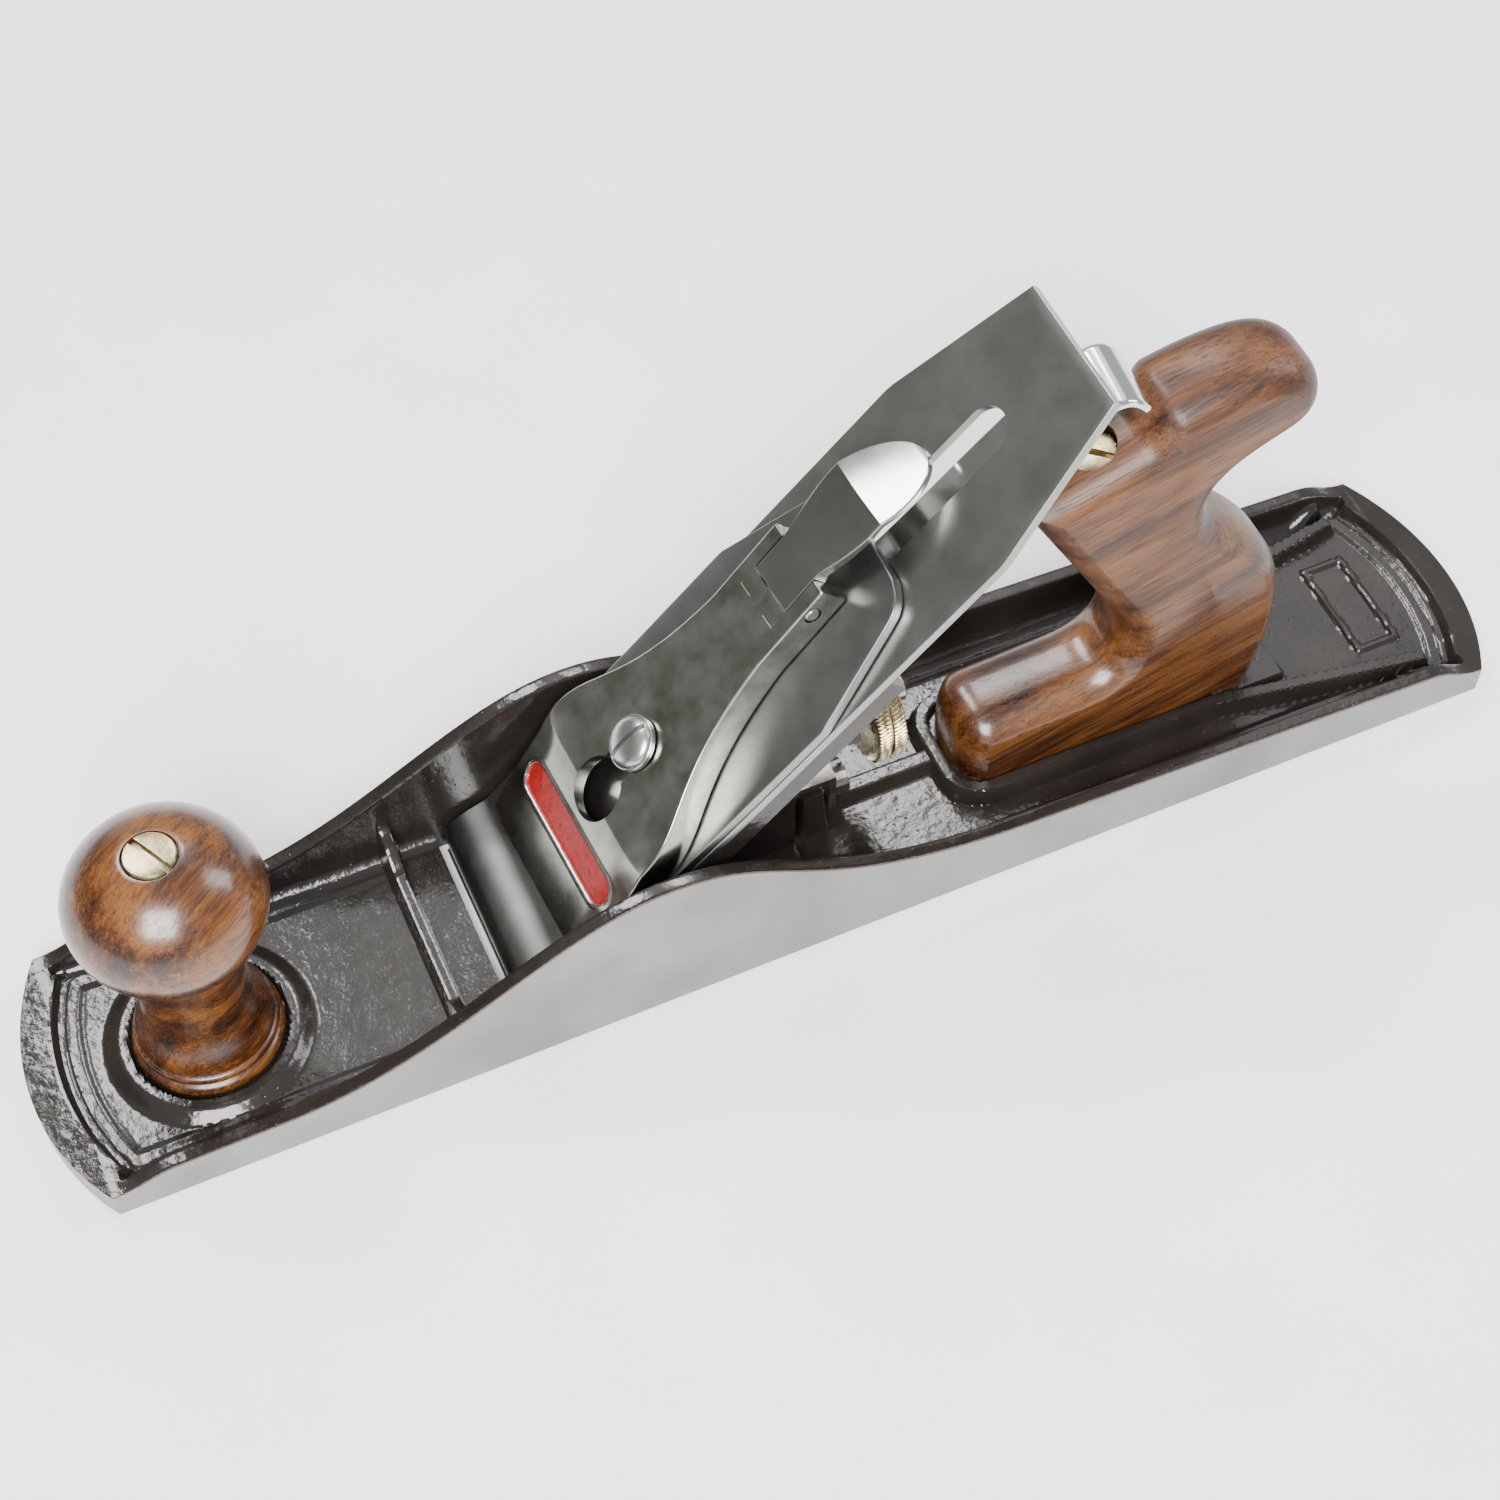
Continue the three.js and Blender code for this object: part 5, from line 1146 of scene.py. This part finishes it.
def depth_wheel():
    """The depth wheel: collar, groove for the yoke, and two knurled bands with a groove between.

    The knurl draws the bands in by the size of a sine that advances with the angle and along the axis.
    """
    low, high = box_mm("depth_wheel")
    radius = (high[2] - low[2]) / 2
    start, end = low[0], high[0]
    disc = end - 7
    collar = [(3.3, start), (8.3, start), (8.6, start + 0.3), (8.6, start + 1.7), (8.3, start + 2)]
    hub = [(5.2, start + 2.2), (5.2, disc - 0.2), (9, disc)]
    shoulder = [(radius - 1.6, disc), (radius - 0.5, disc + 0.25)]
    bands = [[(radius, edge + 2.6 * t) for t in np.linspace(0, 1, 8)] for edge in (disc + 0.5, disc + 3.9)]
    groove = [(radius - 0.9, disc + 3.3), (radius - 0.9, disc + 3.7)]
    face = [(radius - 0.5, end - 0.2), (radius - 1.4, end), (3.3, end), (3.3, start)]
    profile = [*collar, *hub, *shoulder, *bands[0], *groove, *bands[1], *face]

    def knurl(angle, x):
        band = (np.asarray([r for r, _ in profile]) > radius - 0.1) * 1.0
        return -0.42 * band * np.abs(np.sin(46 * angle + 1.1 * (x - disc)))

    return turned("knurled_wheel", profile, along((1, 0, 0), (0, 0, wheel_axis[2])), 552, 24, knurl)


def pin(name, node, radius, start, end, slot, finish):
    """A plain round pin with chamfered ends."""
    run = np.subtract(end, start)
    length = float(np.linalg.norm(run))
    slim = radius - PIN_CHAMFER
    profile = [(0, 0), (slim, 0), (radius, PIN_CHAMFER), (radius, length - PIN_CHAMFER),
               (slim, length), (0, length)]
    return fit(turned(name, profile, along(run / length, start), 64), node, slot, finish)


# ---- tote ---------------------------------------------------------------------------------------


def tote_outline():
    """The tote from the side: foot, heel, bulge, grip's back, horn, top facet, and the grip's front."""
    z = TOTE_LOW
    base = z - 8
    runs = [
        [(0, base), (76.5, base)],
        [(76.5, base), (79, z + 6), (81, 20), (81, 31)],
        [(81, 31), (81, 45), (76, 53), (67.5, 62)],
        [(67.5, 62), (60, 69.5), (55.4, 72), (55.2, 79)],
        [(55.2, 79), (55.5, 88), (63, 91), (71, 94.5)],
        [(71, 94.5), (80.5, 98.5), (81, 108), (73, 113.5)],
        [(73, 113.5), (67, 117.5), (56, 117), (44, 113.8)],
        [(44, 113.8), (37.5, 112), (40.5, 106), (35, 104.2)],
        [(35, 104.2), (9.6, 95.4)],
        [(9.6, 95.4), (34, 52.5)],
        [(34, 52.5), (40, 41.5), (44, 28), (30, 26.8)],
        [(30, 26.8), (8, 25.4)],
        [(8, 25.4), (1, 25), (0, 20), (0, 14)],
    ]
    points = np.concatenate([bezier(run, 2 if len(run) == 2 else 22)[:-1] for run in runs])
    return points + (TOTE_X, 0)


def tote():
    """The outline carried over the tote's thickness, drawn in towards both sides along a quarter oval."""
    outline = tote_outline()
    edge = np.roll(outline, -1, axis=0) - outline
    normal = np.stack([-edge[:, 1], edge[:, 0]], -1) / np.hypot(*edge.T)[:, None]
    before = np.roll(normal, 1, axis=0)
    inward = (normal + before) / (1 + np.sum(normal * before, -1, keepdims=True))
    reach = math.radians(72)
    turn = np.linspace(-reach, reach, 27)[:, None, None]
    inset = TOTE_INSET * (1 - np.cos(turn)) / (1 - math.cos(reach))
    y = np.sign(turn) * (TOTE_HALF - TOTE_ROUND) + TOTE_ROUND * np.sin(turn) / math.sin(reach)
    y[len(y) // 2] = 0
    flat = outline + inward * inset
    points = np.stack([flat[..., 0], np.broadcast_to(y[..., 0], flat.shape[:2]), flat[..., 1]], -1)
    rows, columns = points.shape[:2]
    last = (rows - 1) * columns
    caps = [list(range(columns)), list(range(last + columns - 1, last - 1, -1))]
    thing = build("tote_wood", points, grid_faces(rows, columns, closed=True) + caps, 24)
    left, right, below = TOTE_X - 20, TOTE_X + 120, -40
    foot = prism("foot_tool", [(left, below), (right, below), (right, TOTE_LOW), (left, TOTE_LOW)], -60, 60,
                 np.asarray)
    top, axis = tote_nut_place()
    hole = cylinder("nut_tool", NUT_RADIUS + 0.35, top - axis * 2.7, top + axis * 25)
    return carve(thing, [foot, hole], 24)


def tote_nut_place():
    """The middle of the tote nut's face, and its axis."""
    axis = np.array([-math.cos(NUT_TILT), 0, math.sin(NUT_TILT)])
    return np.array([TOTE_X + NUT_AHEAD, 0, NUT_HEIGHT]), axis


# ---- all of it ----------------------------------------------------------------------------------


def dress_frame(finishes):
    """Gives each CAD node that stays in view the finish of its slot."""
    for part in record["subparts"]:
        thing = frame["nodes"][part["node"]]
        thing.data.materials.clear()
        thing.data.materials.append(finishes[part["material_slot"]])


def finishes_by_slot():
    """The finish of each material slot, for the CAD nodes that stay in view and for most new pieces."""
    return {
        "japanned_iron": japan(),
        "satin_steel": satin_steel("blade_steel", (0.35, 0.35, 0.335), (0.27, 0.27, 0.255), False),
        "machine_steel": machined(),
        "grey_iron": grey_iron(),
        "nickel_plate": nickel("bright_nickel", (0.70, 0.71, 0.70), 0.06),
        "brass": brass(),
        "knob_wood": wood("knob_wood", (0.008, 0.0021, 0.0005), (0.052, 0.0140, 0.0022),
                          (0.155, 0.055, 0.009), (0, 0, math.radians(35)), 0.2, 400),
        "tote_wood": wood("tote_wood", (0.010, 0.0026, 0.0007), (0.056, 0.0172, 0.0040),
                          (0.125, 0.048, 0.013), (0, math.radians(-16), 0), 0.24, 46),
    }


def build_object():
    """Dresses the CAD nodes that stay, and fits a finished piece in place of each of the others."""
    finishes = finishes_by_slot()
    dress_frame(finishes)
    cap_steel = satin_steel("cap_iron_steel", (0.30, 0.31, 0.30), (0.22, 0.23, 0.22), True)
    cam_nickel = nickel("cam_nickel", (0.44, 0.44, 0.41), 0.08)
    screw_nickel = nickel("screw_nickel", (0.50, 0.50, 0.49), 0.2)
    yellow, steel = finishes["brass"], finishes["machine_steel"]
    fit(casting(finishes["japanned_iron"], ground_steel()), "sole_casting", "japanned_iron")
    fit(blade(), "blade", "satin_steel", finishes["satin_steel"])
    fit(cap_iron(), "cap_iron", "satin_steel", cap_steel)
    fit(lever_cap(), "lever_cap", "nickel_plate", cap_nickel())
    fit(cam_lever(), "cam_lever", "nickel_plate", cam_nickel)
    fit(lateral_lever(), "lateral_lever", "nickel_plate", finishes["nickel_plate"])
    fit(cap_screw(), "lever_cap_screw", "nickel_plate", screw_nickel)
    fit(knob(), "knob", "knob_wood", finishes["knob_wood"])
    fit(tote(), "tote", "tote_wood", finishes["tote_wood"])
    fit(depth_wheel(), "depth_wheel", "brass", yellow)
    slotted_nut("knob_nut_turning", "knob_nut", (KNOB_X, 0, KNOB_TOP), (0, 0, 1), KNOB_SLOT_TURN, yellow)
    slotted_nut("tote_nut_turning", "tote_nut", *tote_nut_place(), TOTE_SLOT_TURN, yellow)
    stud = [(corner[0], 0, wheel_axis[2]) for corner in box_mm("depth_stud")]
    pin("stud_turning", "depth_stud", STUD_RADIUS, *stud, "machine_steel", steel)
    pin("cam_pin_turning", "cam_pin", PIN_RADIUS, *cam_pin_ends(NECK_HALF), "machine_steel", steel)


def floor():
    """A pale sheet under the plane."""
    mesh = bpy.data.meshes.new("floor_sheet")
    reach = 12
    corners = [(-reach, -reach, 0), (reach, -reach, 0), (reach, reach, 0), (-reach, reach, 0)]
    mesh.from_pydata(corners, [], [(0, 1, 2, 3)])
    thing = bpy.data.objects.new("floor_sheet", mesh)
    bpy.context.scene.collection.objects.link(thing)
    f = Finish("pale_floor")
    grain = f.noise(f.place(), 0.02, 2)
    paper = f.ramp(grain, (0.3, (0.86, 0.86, 0.86)), (0.7, (0.9, 0.9, 0.9)))
    mesh.materials.append(f.done(base_color=paper, roughness=0.6))


def softbox(name, place, aim, size, power):
    """A rectangular studio light that faces a point."""
    lamp = bpy.data.lights.new(name, "AREA")
    lamp.shape = "RECTANGLE"
    lamp.size, lamp.size_y = size
    lamp.energy = power
    thing = bpy.data.objects.new(name, lamp)
    thing.location = place
    thing.rotation_euler = (Vector(aim) - Vector(place)).to_track_quat("-Z", "Y").to_euler()
    bpy.context.scene.collection.objects.link(thing)


def dark_board(name, place, aim, size):
    """A matt grey board that only reflections see, to give polished steel something dark to mirror."""
    mesh = bpy.data.meshes.new(name)
    w, h = size[0] / 2, size[1] / 2
    mesh.from_pydata([(-w, -h, 0), (w, -h, 0), (w, h, 0), (-w, h, 0)], [], [(0, 1, 2, 3)])
    thing = bpy.data.objects.new(name, mesh)
    thing.location = place
    thing.rotation_euler = (Vector(aim) - Vector(place)).to_track_quat("Z", "Y").to_euler()
    thing.visible_camera = False
    thing.visible_shadow = False
    thing.visible_diffuse = False
    bpy.context.scene.collection.objects.link(thing)
    f = Finish(name)
    mesh.materials.append(f.done(base_color=(0.075, 0.074, 0.068), roughness=0.9))


def studio():
    """A pale room: a large panel in front, small ones behind, one past the heel, a broad one overhead, and
    a dark board that only reflections see, so that the polished pieces have something to mirror."""
    world = bpy.data.worlds.new("studio")
    bpy.context.scene.world = world
    world.use_nodes = True
    background = world.node_tree.nodes["Background"]
    background.inputs["Color"].default_value = (0.96, 0.98, 1, 1)
    background.inputs["Strength"].default_value = 0.7
    middle = (0, 0, 0.04)
    softbox("front", (-0.55, -1.15, 1.45), middle, (1.0, 1.0), 100)
    softbox("back", (-0.42, 0.98, 1.55), middle, (0.42, 0.55), 18)
    softbox("panel", (0.36, 0.80, 1.25), middle, (0.30, 0.26), 5)
    softbox("heel", (1.3, -0.1, 1.0), middle, (0.5, 0.9), 13)
    softbox("overhead", (0.55, 1.15, 1.75), middle, (1.5, 1.2), 8)
    dark_board("dark_board", (-1.0, 0.62, 0.34), middle, (1.9, 1.0))


def camera():
    """The view: azimuth, elevation and roll about a point near the middle, by a long lens."""
    azimuth, elevation, roll = (math.radians(a) for a in (-23.65, 55.23, -0.42))
    back = Vector((math.sin(azimuth) * math.cos(elevation), -math.cos(azimuth) * math.cos(elevation),
                   math.sin(elevation)))
    right = Vector((math.cos(azimuth), math.sin(azimuth), 0))
    up = back.cross(right)
    level_right = math.cos(roll) * right + math.sin(roll) * up
    level_up = math.cos(roll) * up - math.sin(roll) * right
    distance, aside, above = 0.62463, -0.00752, 0.0181
    spot = back * distance + level_right * aside + level_up * above
    lens = bpy.data.cameras.new("view")
    lens.lens = 64.59
    lens.sensor_width = 36
    lens.clip_start = 0.01
    thing = bpy.data.objects.new("view", lens)
    turn = Matrix((level_right, level_up, back)).transposed().to_4x4()
    thing.matrix_world = Matrix.Translation(spot) @ turn
    bpy.context.scene.collection.objects.link(thing)
    bpy.context.scene.camera = thing


camera()
build_object()
floor()
studio()
